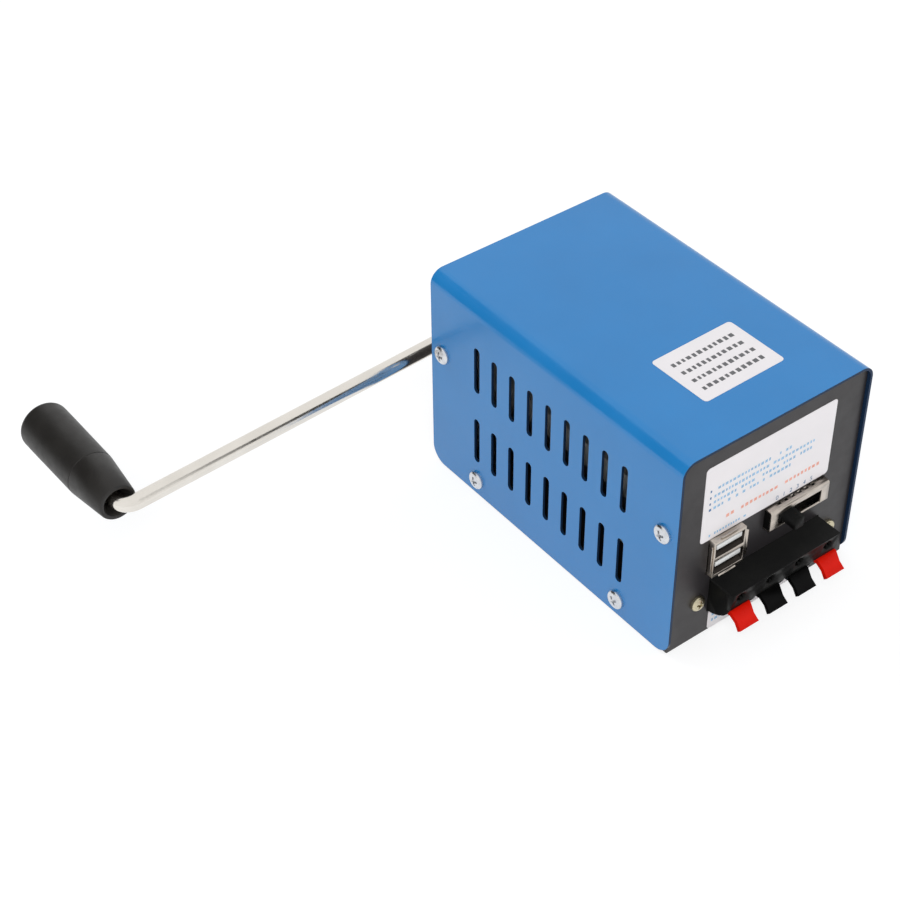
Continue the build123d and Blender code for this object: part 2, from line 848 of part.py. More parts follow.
with BuildPart() as terminal_housing:
    with BuildSketch(at_x(terminal_x - terminal_width / 2)) as block:
        with BuildLine():
            Polyline(
                (terminal_rear_y, terminal_low),
                (terminal_rear_y, terminal_top),
                (terminal_face_y, terminal_top),
                (terminal_mouth_y, terminal_face_low),
                *[(terminal_mouth_y + back, terminal_face_low - down) for back, down in terminal_underside],
                (front_y, terminal_low),
                close=True,
            )
        make_face()
    extrude(amount=terminal_width)
    with BuildSketch(at_y(-panel_inner_y + terminal_flange_thickness)) as flange:
        with Locations((terminal_x, terminal_flange_low)):
            Rectangle(terminal_flange_width, terminal_flange_height, align=(Align.CENTER, Align.MIN))
        chamfer(flange.vertices(), terminal_flange_corner)
        with Locations((terminal_x, terminal_screw_z)):
            with GridLocations(terminal_screw_spacing, 1, 2, 1):
                round_hole(mode=Mode.SUBTRACT)
    extrude(amount=terminal_flange_thickness)
    for spot in terminal_spots:
        with BuildSketch(at_x(spot - cavity_width / 2)):
            Polygon(
                (slab_inner_y, cavity_top),
                (cavity_rear_y, cavity_top),
                (cavity_rear_y, lever_pin_z - lever_hub_radius - 1.0),
                (slab_inner_y + lever_plate_gap + lever_plate + 2 * lever_play, terminal_low + 2.0),
                (slab_inner_y + lever_plate_gap, terminal_low - 2.0),
                (terminal_face_y - 1.0, terminal_low - 2.0),
                (terminal_face_y - 1.0, terminal_face_low),
                (slab_inner_y, terminal_face_low),
            )
        extrude(amount=cavity_width, mode=Mode.SUBTRACT)
        with BuildSketch(at_x(spot - contact_width / 2)):
            with Locations((cavity_rear_y, cavity_top)):
                Rectangle(terminal_rear_y - cavity_rear_y, contact_sheet, align=(Align.MIN, Align.MAX))
        extrude(amount=contact_width, mode=Mode.SUBTRACT)
    with BuildSketch(at_y(slab_inner_y)):
        with Locations(*[(spot + wire_hole_shift, wire_hole_z) for spot in terminal_spots]):
            RegularPolygon(wire_hole_radius, wire_hole_sides)
    extrude(amount=slab_inner_y - terminal_face_y + 1.0, mode=Mode.SUBTRACT)
    pin_bore_length = terminal_width - 2 * lever_pin_seat
    with BuildSketch(at_x(terminal_x - pin_bore_length / 2)):
        with Locations((lever_pin_y, lever_pin_z)):
            RegularPolygon(lever_pin_radius, lever_pin_sides)
    extrude(amount=pin_bore_length, mode=Mode.SUBTRACT)
finish(terminal_housing, "terminal_housing")

with BuildPart() as lever_pivot_pin:
    with BuildSketch(at_x(terminal_x - pin_bore_length / 2)):
        with Locations((lever_pin_y, lever_pin_z)):
            RegularPolygon(lever_pin_radius, lever_pin_sides)
    extrude(amount=pin_bore_length)
finish(lever_pivot_pin, "lever_pivot_pin")

with BuildPart() as terminal_contacts:
    contact_bend_y = terminal_rear_y + contact_drop_depth
    for spot in terminal_spots:
        with BuildSketch(at_x(spot - contact_width / 2)):
            Polygon(
                (slab_inner_y + contact_setback, cavity_top),
                (contact_bend_y - contact_sheet, cavity_top),
                (contact_bend_y - contact_sheet, board_low),
                (contact_bend_y, board_low),
                (contact_bend_y, cavity_top - contact_sheet),
                (slab_inner_y + contact_setback, cavity_top - contact_sheet),
            )
        extrude(amount=contact_width)
finish(terminal_contacts, "terminal_contacts")

terminal_screw = screw(
    chassis_sheet + terminal_flange_thickness + terminal_nut_height + terminal_screw_end,
    terminal_screw_head_radius,
    screw_head_sides,
)
terminal_screw_xs = [terminal_x + side * terminal_screw_spacing / 2 for side in (-1, 1)]
terminal_screws = copies(
    terminal_screw,
    [Plane(origin=(x, front_y, terminal_screw_z), x_dir=(1, 0, 0), z_dir=(0, -1, 0)) for x in terminal_screw_xs],
)
finish(terminal_screws, "terminal_screws")

with BuildPart() as terminal_nuts:
    nut_y = -panel_inner_y + terminal_flange_thickness + terminal_nut_height
    with BuildSketch(at_y(nut_y)):
        with Locations(*[(x, terminal_screw_z) for x in terminal_screw_xs]):
            RegularPolygon(terminal_nut_across / 2, 6, major_radius=False)
            round_hole(mode=Mode.SUBTRACT)
    extrude(amount=terminal_nut_height)
finish(terminal_nuts, "terminal_nuts")

plate_front_y = slab_inner_y + lever_plate_gap
shelf_top = terminal_face_low - lever_stop_gap
tab_root_y = terminal_mouth_y - 0.5


def push_lever(spot):
    """One push lever: hub on the pin, clamp plate behind the wire hole, and the finger tab."""
    with BuildPart() as lever:
        with BuildSketch(at_x(spot - lever_width / 2)):
            Polygon(
                (plate_front_y, lever_plate_top),
                (plate_front_y + lever_plate, lever_plate_top),
                (plate_front_y + lever_plate, lever_pin_z + lever_hub_radius * 0.6),
                (lever_pin_y, lever_pin_z + lever_hub_radius),
                (lever_pin_y, lever_pin_z - lever_hub_radius),
                (plate_front_y + lever_plate, shelf_top - lever_shelf),
                (tab_root_y + lever_shelf / 2, shelf_top - lever_shelf),
                (tab_root_y, shelf_top),
                (plate_front_y, shelf_top),
            )
            with Locations((lever_pin_y, lever_pin_z)):
                RegularPolygon(lever_hub_radius, lever_hub_sides)
        extrude(amount=lever_width)
        slope = Plane(
            origin=(spot, tab_root_y, shelf_top),
            x_dir=(1, 0, 0),
            z_dir=(0, sin(radians(tab_angle)), -cos(radians(tab_angle))),
        )
        with BuildSketch(slope):
            Polygon(
                (-tab_root_width / 2, 0),
                (tab_root_width / 2, 0),
                (tab_waist_width / 2, tab_length * tab_waist_share),
                (tab_tip_width / 2, tab_length),
                (-tab_tip_width / 2, tab_length),
                (-tab_waist_width / 2, tab_length * tab_waist_share),
            )
        extrude(amount=tab_thickness)
        with BuildSketch(at_x(spot - lever_width / 2)):
            with Locations((lever_pin_y, lever_pin_z)):
                RegularPolygon(lever_pin_radius + lever_bore_play, lever_hub_sides, major_radius=False)
        extrude(amount=lever_width, mode=Mode.SUBTRACT)
    return lever


lever_names = ["lever_red_left", "lever_black_left", "lever_black_right", "lever_red_right"]
for spot, lever_name in zip(terminal_spots, lever_names):
    finish(push_lever(spot), lever_name)

# ---------------------------------------------------------------- crank

with BuildPart() as crank_rod:
    with BuildLine() as rod_path:
        FilletPolyline(
            (0, crank_y - rod_bend_radius - rod_seat_depth, crank_height),
            (0, crank_y, crank_height),
            (grip_x, crank_y, grip_z),
            (grip_x, crank_y + grip_gap + grip_length - grip_socket_depth + 2 * grip_washer_thickness, grip_z),
            radius=rod_bend_radius,
        )
    with BuildSketch(Plane(origin=rod_path.line @ 0, z_dir=rod_path.line % 0)):
        RegularPolygon(rod_radius, rod_sides)
    sweep()
finish(crank_rod, "crank_rod")

hub_front_y = panel_y + crank_bush_flange + hub_gap
hub_rear_y = crank_y - rod_bend_radius - bend_gap
rod_seat_y = crank_y - rod_bend_radius - rod_seat_depth - bend_gap
gear_hub_y = first_gear_y - first_gear_width - wheel_hub_length
gear_pin_y = first_gear_y - first_gear_width - wheel_hub_length / 2
grub_screw_y = (hub_front_y + hub_rear_y) / 2
rod_seat_bore = running_bore(rod_radius, turned_sides)
tail_front_y = front_plate_y - front_plate_thickness + shaft_end_gap

shaft_blank = stack(
    [
        (tail_front_y, gear_hub_y, tail_radius, 0),
        (gear_hub_y, rod_seat_y, journal_radius, 0),
        (rod_seat_y, hub_front_y, journal_radius, rod_seat_bore),
        (hub_front_y, hub_rear_y, hub_radius, rod_seat_bore),
    ],
    0,
    crank_height,
    turned_sides,
)
with BuildPart() as crank_shaft:
    add(shaft_blank.part)
    end_edges = crank_shaft.edges().group_by(Axis.Y)[-1]
    rim_low = journal_radius**2
    rim = [edge for edge in end_edges if edge.center().X ** 2 + (edge.center().Z - crank_height) ** 2 > rim_low]
    chamfer(rim, hub_chamfer)
    with BuildSketch(Plane.XY.offset(crank_height)):
        with Locations((0, grub_screw_y)):
            RegularPolygon(grub_screw_radius, hole_sides)
    extrude(amount=hub_radius, mode=Mode.SUBTRACT)
    with BuildSketch(Plane.XY.offset(crank_height)):
        with Locations((0, gear_pin_y)):
            RegularPolygon(gear_pin_radius, hole_sides)
    extrude(amount=journal_radius, both=True, mode=Mode.SUBTRACT)
finish(crank_shaft, "crank_shaft")

with BuildPart() as grub_screw:
    with BuildSketch(Plane.XY.offset(crank_height + rod_radius + rod_seat_play)):
        with Locations((0, grub_screw_y)):
            RegularPolygon(grub_screw_radius, hole_sides)
    extrude(amount=hub_radius - rod_radius - 2 * rod_seat_play - grub_screw_recess)
finish(grub_screw, "grub_screw")

journal_bore = running_bore(journal_radius, turned_sides)
crank_rear_bush = stack(
    [
        (rear_plate_y - bush_flange, panel_y, crank_bush_radius, journal_bore),
        (panel_y, panel_y + crank_bush_flange, crank_bush_flange_radius, journal_bore),
    ],
    0,
    crank_height,
    turned_sides,
)
finish(crank_rear_bush, "crank_rear_bush")


# ---------------------------------------------------------------- grip

grip_low_y = crank_y + grip_gap
grip_high_y = grip_low_y + grip_length
socket_y = grip_high_y - grip_socket_depth

grip_outside = [
    (grip_mouth_radius - grip_mouth_edge, grip_low_y),
    (grip_mouth_radius, grip_low_y + grip_mouth_edge),
    (grip_shoulder_radius, grip_low_y + grip_shoulder),
    (grip_radius, grip_high_y - grip_end_radius),
    (grip_radius - grip_end_radius * (1 - cos(pi / 4)), grip_high_y - grip_end_radius * (1 - sin(pi / 4))),
    (grip_radius - grip_end_radius, grip_high_y),
]
rod_bore = running_bore(rod_radius, grip_sides)
grip_inside = [
    (grip_socket_radius, grip_high_y),
    (grip_socket_radius, socket_y),
    (rod_bore, socket_y),
    (rod_bore, grip_low_y + grip_recess_depth),
    (grip_recess_radius, grip_low_y),
]

with BuildPart() as grip_sleeve:
    add(faceted(grip_outside + grip_inside, grip_x, grip_z, grip_sides, hollow=True))
finish(grip_sleeve, "grip_sleeve")

plug_stations = [
    (grip_plug_radius, grip_high_y - grip_plug_depth),
    (grip_plug_radius, grip_high_y - grip_plug_crown),
    (grip_plug_radius - grip_plug_crown, grip_high_y),
]
with BuildPart() as grip_plug:
    add(faceted(plug_stations, grip_x, grip_z, grip_sides, hollow=False))
finish(grip_plug, "grip_plug")

washer_low_y = socket_y + grip_play
washer_bore = running_bore(rod_radius, rod_sides)
grip_washer = stack(
    [(washer_low_y, washer_low_y + grip_washer_thickness, grip_washer_radius, washer_bore)],
    grip_x,
    grip_z,
    rod_sides,
)
finish(grip_washer, "grip_washer")

# ---------------------------------------------------------------- gears


def involute(angle):
    """The involute function of an angle in radians."""
    return tan(angle) - angle


def gap_flank(teeth, module, addendum):
    """One side of a gap between two involute teeth about +X, from its root to the tip circle."""
    pitch_radius = module * teeth / 2
    base_radius = pitch_radius * cos(radians(pressure_angle))
    root_radius = pitch_radius - root_factor * module
    tip_radius = pitch_radius + addendum * module
    half_tooth = (pi * module / 2 - tooth_play) / (2 * pitch_radius)
    radii = [root_radius, tip_radius]
    if base_radius > root_radius:
        radii = [root_radius, pitch_radius, tip_radius]
    flank = []
    for radius in radii:
        flank_angle = acos(min(1, base_radius / max(radius, base_radius)))
        half_gap = pi / teeth - half_tooth - involute(radians(pressure_angle)) + involute(flank_angle)
        flank.append((radius, half_gap))
    return flank


def spur_gear(teeth, module, addendum, width, rear_y, x, z, gap_angle):
    """A plain toothed disc whose first gap points along gap_angle, from +X toward +Z."""
    flank = gap_flank(teeth, module, addendum)
    one_gap = [(radius, -turn) for radius, turn in reversed(flank)] + flank
    outline = []
    for tooth in range(teeth):
        middle = radians(gap_angle) + 2 * pi * tooth / teeth
        outline += [(radius * cos(middle + turn), radius * sin(middle + turn)) for radius, turn in one_gap]
    with BuildPart() as gear:
        with BuildSketch(Plane(origin=(x, rear_y, z), x_dir=(1, 0, 0), z_dir=(0, -1, 0))):
            Polygon(*outline)
        extrude(amount=width)
    return gear


drive_gear_blank = spur_gear(
    first_wheel_teeth,
    first_module,
    wheel_addendum,
    first_gear_width,
    first_gear_y,
    0,
    crank_height,
    first_mesh_angle,
)
with BuildPart() as drive_gear:
    add(drive_gear_blank.part)
    with BuildSketch(at_y(first_gear_y - first_gear_width)):
        with Locations((0, crank_height)):
            RegularPolygon(wheel_hub_radius, turned_sides)
    extrude(amount=wheel_hub_length)
    with BuildSketch(at_y(first_gear_y)):
        with Locations((0, crank_height)):
            RegularPolygon(journal_radius, turned_sides)
            with PolarLocations(lightening_pitch_radius, lightening_holes):
                RegularPolygon(lightening_radius, lightening_sides)
    extrude(amount=first_gear_width + wheel_hub_length, mode=Mode.SUBTRACT)
    with BuildSketch(Plane.XY.offset(crank_height)):
        with Locations((0, gear_pin_y)):
            RegularPolygon(gear_pin_radius, hole_sides)
    extrude(amount=wheel_hub_radius, both=True, mode=Mode.SUBTRACT)
finish(drive_gear, "drive_gear")

with BuildPart() as drive_gear_pin:
    with BuildSketch(Plane.XY.offset(crank_height)):
        with Locations((0, gear_pin_y)):
            RegularPolygon(gear_pin_radius, hole_sides)
    extrude(amount=wheel_hub_radius * cos(pi / turned_sides) - gear_pin_setback, both=True)
finish(drive_gear_pin, "drive_gear_pin")

counter_gap_angle = first_mesh_angle + 180 + 180 / first_pinion_teeth
counter_pinion_blank = spur_gear(
    first_pinion_teeth,
    first_module,
    pinion_addendum,
    first_gear_width + 2 * pinion_extra_width,
    first_gear_y + pinion_extra_width,
    counter_x,
    counter_z,
    counter_gap_angle,
)
countershaft_rear_y = panel_inner_y - shaft_end_gap
countershaft_front_y = front_plate_y - front_plate_thickness + shaft_end_gap
with BuildPart() as countershaft:
    add(counter_pinion_blank.part)
    with BuildSketch(at_y(countershaft_rear_y)):
        with Locations((counter_x, counter_z)):
            RegularPolygon(countershaft_radius, turned_sides)
    extrude(amount=countershaft_rear_y - countershaft_front_y)
    with BuildSketch(at_y(first_gear_y - first_gear_width)):
        with Locations((counter_x, counter_z)):
            RegularPolygon(countershaft_seat_radius, turned_sides)
    extrude(amount=gear_side_gap + second_gear_width)
finish(countershaft, "countershaft")

second_gear_blank = spur_gear(
    second_wheel_teeth,
    second_module,
    wheel_addendum,
    second_gear_width,
    second_gear_y,
    counter_x,
    counter_z,
    second_mesh_angle,
)
with BuildPart() as second_gear:
    add(second_gear_blank.part)
    with BuildSketch(at_y(second_gear_y)):
        with Locations((counter_x, counter_z)):
            RegularPolygon(countershaft_seat_radius, turned_sides)
    extrude(amount=second_gear_width, mode=Mode.SUBTRACT)
finish(second_gear, "second_gear")

generator_pinion_blank = spur_gear(
    second_pinion_teeth,
    second_module,
    pinion_addendum,
    second_gear_width + 2 * pinion_extra_width,
    second_gear_y + pinion_extra_width,
    generator_x,
    generator_z,
    second_mesh_angle + 180 + 180 / second_pinion_teeth,
)
with BuildPart() as generator_pinion:
    add(generator_pinion_blank.part)
    with BuildSketch(at_y(second_gear_y + pinion_extra_width)):
        with Locations((generator_x, generator_z)):
            RegularPolygon(generator_shaft_radius, turned_sides)
    extrude(amount=second_gear_width + 2 * pinion_extra_width, mode=Mode.SUBTRACT)
finish(generator_pinion, "generator_pinion")

# ---------------------------------------------------------------- gear frame

bush_seat_radius = countershaft_radius + running_play + bush_wall
can_screw_head_radius = small_screw_head_radius


def frame_plate(back_y, thickness, seats):
    """One plate of the gear frame with its corner holes and the seats (x, z, radius, sides)."""
    with BuildPart() as plate:
        with BuildSketch(at_y(back_y)) as outline:
            with Locations((0, plate_low)):
                Rectangle(plate_width, plate_height, align=(Align.CENTER, Align.MIN))
            chamfer(outline.vertices(), plate_corner_radius)
            with Locations(*pillar_spots):
                round_hole(mode=Mode.SUBTRACT)
            for x, z, radius, sides in seats:
                with Locations((x, z)):
                    RegularPolygon(radius, sides, mode=Mode.SUBTRACT)
        extrude(amount=thickness)
    return plate


gearbox_rear_plate = frame_plate(
    panel_inner_y,
    rear_plate_thickness,
    [
        (0, crank_height, crank_bush_radius + screw_play, turned_sides),
        (counter_x, counter_z, bush_seat_radius, turned_sides),
    ],
)
finish(gearbox_rear_plate, "gearbox_rear_plate")

front_plate_blank = frame_plate(
    front_plate_y,
    front_plate_thickness,
    [
        (0, crank_height, tail_radius + running_play + bush_wall, turned_sides),
        (counter_x, counter_z, bush_seat_radius, turned_sides),
        (generator_x, generator_z, can_boss_radius + screw_play, can_sides),
    ],
)
can_screw_dx = can_screw_spacing / 2 * cos(radians(can_screw_angle))
can_screw_dz = can_screw_spacing / 2 * sin(radians(can_screw_angle))
can_screw_spots = [(generator_x + side * can_screw_dx, generator_z + side * can_screw_dz) for side in (-1, 1)]

def countersunk(head_corner, shank_corner, depth, x, z):
    """A countersunk form in the front plate's rear face: a cone of 45 degrees and a straight shank."""
    stations = [
        (head_corner, front_plate_y),
        (shank_corner, front_plate_y - head_corner + shank_corner),
        (shank_corner, front_plate_y - depth),
    ]
    return faceted(stations, x, z, small_head_sides, hollow=False)


sunk_hole_corner = screw_radius + screw_play
with BuildPart() as gearbox_front_plate:
    add(front_plate_blank.part)
    for x, z in can_screw_spots:
        sunk_hole = countersunk(can_screw_head_radius, sunk_hole_corner, front_plate_thickness, x, z)
        add(sunk_hole, mode=Mode.SUBTRACT)
finish(gearbox_front_plate, "gearbox_front_plate")

with BuildPart() as gearbox_pillars:
    with BuildSketch(at_y(rear_plate_y)):
        with Locations(*pillar_spots):
            RegularPolygon(pillar_radius, pillar_sides)
    extrude(amount=rear_plate_y - front_plate_y)
    for end_y, direction in ((rear_plate_y, 1), (front_plate_y, -1)):
        with BuildSketch(at_y(end_y)):
            with Locations(*pillar_spots):
                round_hole()
        extrude(amount=direction * pillar_thread_depth, mode=Mode.SUBTRACT)
finish(gearbox_pillars, "gearbox_pillars")

rear_screw = screw(
    chassis_sheet + rear_plate_thickness + pillar_screw_grip, small_screw_head_radius, screw_head_sides
)
gearbox_screws = copies(
    rear_screw,
    [Plane(origin=(x, panel_y, z), x_dir=(1, 0, 0), z_dir=(0, 1, 0)) for x, z in pillar_spots],
)
finish(gearbox_screws, "gearbox_screws")

front_screw = screw(front_plate_thickness + pillar_screw_grip, small_screw_head_radius, small_head_sides)
front_plate_screws = copies(
    front_screw,
    [Plane(origin=(x, can_y, z), x_dir=(1, 0, 0), z_dir=(0, -1, 0)) for x, z in pillar_spots],
)
finish(front_plate_screws, "front_plate_screws")


def plate_bush(shaft_radius, far_y, seat_y, x, z):
    """A bush that fills a plate from far_y to seat_y, where its flange stands on the plate."""
    bore = running_bore(shaft_radius, turned_sides)
    body = shaft_radius + running_play + bush_wall
    flange = body + bush_flange_extra
    lip_y = seat_y + (bush_flange if seat_y > far_y else -bush_flange)
    layers = [(far_y, seat_y, body, bore), (seat_y, lip_y, flange, bore)]
    layers = [(min(near, far), max(near, far), outer, inner) for near, far, outer, inner in layers]
    return stack(layers, x, z, turned_sides)


crank_tail_bush = plate_bush(tail_radius, can_y, front_plate_y, 0, crank_height)
front_counter_bush = plate_bush(countershaft_radius, can_y, front_plate_y, counter_x, counter_z)
rear_counter_bush = plate_bush(countershaft_radius, panel_inner_y, rear_plate_y, counter_x, counter_z)
with BuildPart() as gear_frame_bushes:
    add(crank_tail_bush.part)
    add(front_counter_bush.part)
    add(rear_counter_bush.part)
finish(gear_frame_bushes, "gear_frame_bushes")

# ---------------------------------------------------------------- generator

can_inner_radius = can_radius - can_wall
can_front_y = can_y - can_front_wall
can_blank = stack(
    [
        (can_rear_y, can_front_y, can_radius, can_inner_radius),
        (can_front_y, can_y, can_radius, can_bush_radius),
        (can_y, can_y + can_boss_height, can_boss_radius, can_bush_radius),
    ],
    generator_x,
    generator_z,
    can_sides,
)
with BuildPart() as generator_can:
    add(can_blank.part)
    with BuildSketch(at_y(can_y)):
        with Locations(*can_screw_spots):
            RegularPolygon(sunk_hole_corner, small_head_sides)
    extrude(amount=can_front_wall, mode=Mode.SUBTRACT)
finish(generator_can, "generator_can")

can_screw_length = front_plate_thickness + can_front_wall - can_screw_end
with BuildPart() as generator_screws:
    for x, z in can_screw_spots:
        add(countersunk(can_screw_head_radius - screw_play, screw_radius, can_screw_length, x, z))
finish(generator_screws, "generator_screws")

cap_face_y = can_rear_y - cap_flange
cap_end_y = cap_face_y - cap_boss_height
cap_bush_radius = can_bush_radius - cap_bush_step
cap_blank = stack(
    [
        (cap_end_y, cap_face_y, cap_boss_radius, cap_bush_radius),
        (cap_face_y, cap_face_y + cap_wall, can_radius, cap_bush_radius),
        (cap_face_y + cap_wall, can_rear_y, can_radius, cap_hollow_radius),
        (can_rear_y, can_rear_y + cap_plug, can_inner_radius, cap_hollow_radius),
    ],
    generator_x,
    generator_z,
    can_sides,
)
with BuildPart() as generator_end_cap:
    add(cap_blank.part)
    with BuildSketch(at_y(cap_face_y + cap_wall)):
        with Locations((generator_x, generator_z)):
            with GridLocations(2 * output_tab_x, 1, 2, 1):
                Rectangle(output_tab_sheet, output_tab_width)
    extrude(amount=cap_wall, mode=Mode.SUBTRACT)
finish(generator_end_cap, "generator_end_cap")

generator_bore = running_bore(generator_shaft_radius, can_sides)
front_bush_y = can_y + can_boss_height
front_bush = stack(
    [(front_bush_y - can_bush_length, front_bush_y, can_bush_radius, generator_bore)],
    generator_x,
    generator_z,
    can_sides,
)
rear_bush = stack(
    [(cap_end_y, cap_face_y + cap_wall, cap_bush_radius, generator_bore)], generator_x, generator_z, can_sides
)
with BuildPart() as generator_bushes:
    add(front_bush.part)
    add(rear_bush.part)
finish(generator_bushes, "generator_bushes")

core_radius = can_inner_radius * cos(pi / can_sides) - magnet_thickness - air_gap
magnet_mid_y = (can_front_y + can_rear_y + cap_plug) / 2 + magnet_shift
core_high_y = magnet_mid_y + core_length / 2
core_low_y = magnet_mid_y - core_length / 2
magnet_back = can_inner_radius * cos(pi / can_sides)
magnet_turns = [radians(magnet_span * (step / magnet_chords - 1 / 2)) for step in range(magnet_chords + 1)]
magnet_face = (magnet_back - magnet_thickness) / cos(radians(magnet_span / magnet_chords / 2))
magnet_outline = [(magnet_back * cos(turn), magnet_back * sin(turn)) for turn in magnet_turns]
magnet_outline += [(magnet_face * cos(turn), magnet_face * sin(turn)) for turn in reversed(magnet_turns)]
with BuildPart() as generator_magnets:
    with BuildSketch(Plane(origin=(generator_x, magnet_mid_y, generator_z), x_dir=(1, 0, 0), z_dir=(0, -1, 0))):
        Polygon(*magnet_outline)
        mirror(about=Plane.YZ)
    extrude(amount=magnet_length / 2, both=True)
finish(generator_magnets, "generator_magnets")

slot_centre_radius = core_radius - core_slot_radius - core_slot_cover
with BuildPart() as rotor_core:
    with BuildSketch(Plane(origin=(generator_x, core_high_y, generator_z), x_dir=(1, 0, 0), z_dir=(0, -1, 0))):
        RegularPolygon(core_radius, core_slots * core_slots)
        RegularPolygon(generator_shaft_radius, turned_sides, mode=Mode.SUBTRACT)
        with PolarLocations(slot_centre_radius, core_slots):
            RegularPolygon(core_slot_radius, core_slot_sides, mode=Mode.SUBTRACT)
            Rectangle(core_radius, core_slot_mouth, align=(Align.MIN, Align.CENTER), mode=Mode.SUBTRACT)
    extrude(amount=core_length)
finish(rotor_core, "rotor_core")

winding_radius = core_slot_radius - winding_play
with BuildPart() as rotor_windings:
    with BuildSketch(Plane(origin=(generator_x, core_high_y, generator_z), x_dir=(1, 0, 0), z_dir=(0, -1, 0))):
        with PolarLocations(slot_centre_radius, core_slots):
            RegularPolygon(winding_radius, core_slot_sides)
    extrude(amount=core_length)
    for overhang_y in (core_high_y + winding_overhang, core_low_y):
        with BuildSketch(Plane(origin=(generator_x, overhang_y, generator_z), x_dir=(1, 0, 0), z_dir=(0, -1, 0))):
            RegularPolygon(slot_centre_radius + winding_radius, turned_sides)
            RegularPolygon(slot_centre_radius - winding_radius, turned_sides, mode=Mode.SUBTRACT)
        extrude(amount=winding_overhang)
finish(rotor_windings, "rotor_windings")

commutator_high_y = core_low_y - winding_overhang - winding_end_gap
commutator_low_y = commutator_high_y - commutator_length
shaft_nose_y = second_gear_y + pinion_extra_width + shaft_nose_length
rotor_shaft = stack(
    [(cap_end_y - shaft_tail_length, shaft_nose_y, generator_shaft_radius, 0)],
    generator_x,
    generator_z,
    turned_sides,
)
finish(rotor_shaft, "rotor_shaft")

commutator = stack(
    [(commutator_low_y, commutator_high_y, commutator_radius, generator_shaft_radius)],
    generator_x,
    generator_z,
    turned_sides,
)
finish(commutator, "commutator")

brush_y = (commutator_low_y + commutator_high_y) / 2
brush_start = commutator_radius + brush_gap
with BuildPart() as brushes:
    with BuildSketch(at_y(brush_y + brush_size / 2)):
        with Locations((generator_x, generator_z)):
            Rectangle(2 * (brush_start + brush_length), brush_size)
            RegularPolygon(brush_start, can_sides, major_radius=False, mode=Mode.SUBTRACT)
    extrude(amount=brush_size)
finish(brushes, "brushes")

holder_reach = cap_hollow_radius - holder_end_gap
holder_end = sqrt(holder_reach**2 - (brush_size / 2 + holder_wall) ** 2)
with BuildPart() as brush_holders:
    for side in (-1, 1):
        tube_face = Plane(
            origin=(generator_x + side * holder_end, brush_y, generator_z), x_dir=(0, 1, 0), z_dir=(-side, 0, 0)
        )
        with BuildSketch(tube_face):
            Rectangle(brush_size + 2 * holder_wall, brush_size + 2 * holder_wall)
            Rectangle(brush_size, brush_size, mode=Mode.SUBTRACT)
        extrude(amount=holder_length)
finish(brush_holders, "brush_holders")

with BuildPart() as generator_tabs:
    tab_inner_y = brush_y - brush_size / 2 - holder_wall
    with BuildSketch(at_y(tab_inner_y)):
        with Locations((generator_x, generator_z)):
            with GridLocations(2 * output_tab_x, 1, 2, 1):
                Rectangle(output_tab_sheet, output_tab_width)
    extrude(amount=tab_inner_y - cap_face_y + output_tab_length)
finish(generator_tabs, "generator_tabs")

output_tab_y = cap_face_y - output_tab_length
lead_z = generator_z - output_tab_width / 2 + 2 * lead_radius
lead_rise = board_low - lead_z
with BuildPart() as generator_leads:
    for side in (-1, 1):
        lead_x = generator_x + side * output_tab_x
        lead_cut = min(lead_bend, lead_bend_share * lead_rise)
        with BuildLine() as lead_path:
            Polyline(
                (lead_x, output_tab_y, lead_z),
                (lead_x, output_tab_y - lead_reach + lead_cut, lead_z),
                (lead_x, output_tab_y - lead_reach, lead_z + lead_cut),
                (lead_x, output_tab_y - lead_reach, board_low),
            )
        with BuildSketch(Plane(origin=lead_path.line @ 0, z_dir=lead_path.line % 0)):
            RegularPolygon(lead_radius, lead_sides)
        sweep(path=lead_path.line, transition=Transition.RIGHT)
finish(generator_leads, "generator_leads")
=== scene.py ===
# %% [markdown]
# # A hand crank generator
# The object is a small folded-steel case. A bent rod sticks out of its rear and ends in a
# grip, and its front panel carries sockets, a slide switch and push terminals. The solids
# come ready made, in metres, so this lesson adds what a drawing office leaves out: finishes,
# soft edges, screw heads, print, light and a camera.

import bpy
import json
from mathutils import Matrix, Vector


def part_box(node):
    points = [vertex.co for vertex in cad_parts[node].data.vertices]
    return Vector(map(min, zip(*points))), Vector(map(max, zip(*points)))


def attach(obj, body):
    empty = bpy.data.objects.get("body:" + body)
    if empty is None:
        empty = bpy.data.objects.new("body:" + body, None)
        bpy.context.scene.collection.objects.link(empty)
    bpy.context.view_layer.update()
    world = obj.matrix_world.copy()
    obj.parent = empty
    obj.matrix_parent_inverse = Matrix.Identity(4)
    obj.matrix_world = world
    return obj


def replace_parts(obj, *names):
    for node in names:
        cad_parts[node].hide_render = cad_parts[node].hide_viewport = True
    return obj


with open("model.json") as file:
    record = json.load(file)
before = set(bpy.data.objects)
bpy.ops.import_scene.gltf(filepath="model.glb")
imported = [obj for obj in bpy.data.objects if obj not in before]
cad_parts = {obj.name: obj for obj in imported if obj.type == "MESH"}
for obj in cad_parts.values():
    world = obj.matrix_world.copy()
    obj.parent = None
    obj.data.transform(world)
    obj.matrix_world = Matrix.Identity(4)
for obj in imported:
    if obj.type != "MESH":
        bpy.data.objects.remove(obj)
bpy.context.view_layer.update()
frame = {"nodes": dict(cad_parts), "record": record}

# %% [markdown]
# Everything below is measured in millimetres and turned into metres by one factor, because
# that is how a maker would say it. Only the studio around the object is laid out in metres.
# Random marks use one fixed seed, so that every run of the lesson gives the same picture.

# %% Units and small tools
import json
import math
import random

import bmesh
import bpy
from mathutils import Matrix, Vector

MM = 0.001
scene = bpy.context.scene
dice = random.Random(4)


def mm(*values):
    """Millimetres as a vector in metres."""
    return Vector([value * MM for value in values])


def middle(node):
    """The middle of a solid's box, in millimetres."""
    low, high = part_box(node)
    return (low + high) / 2 / MM


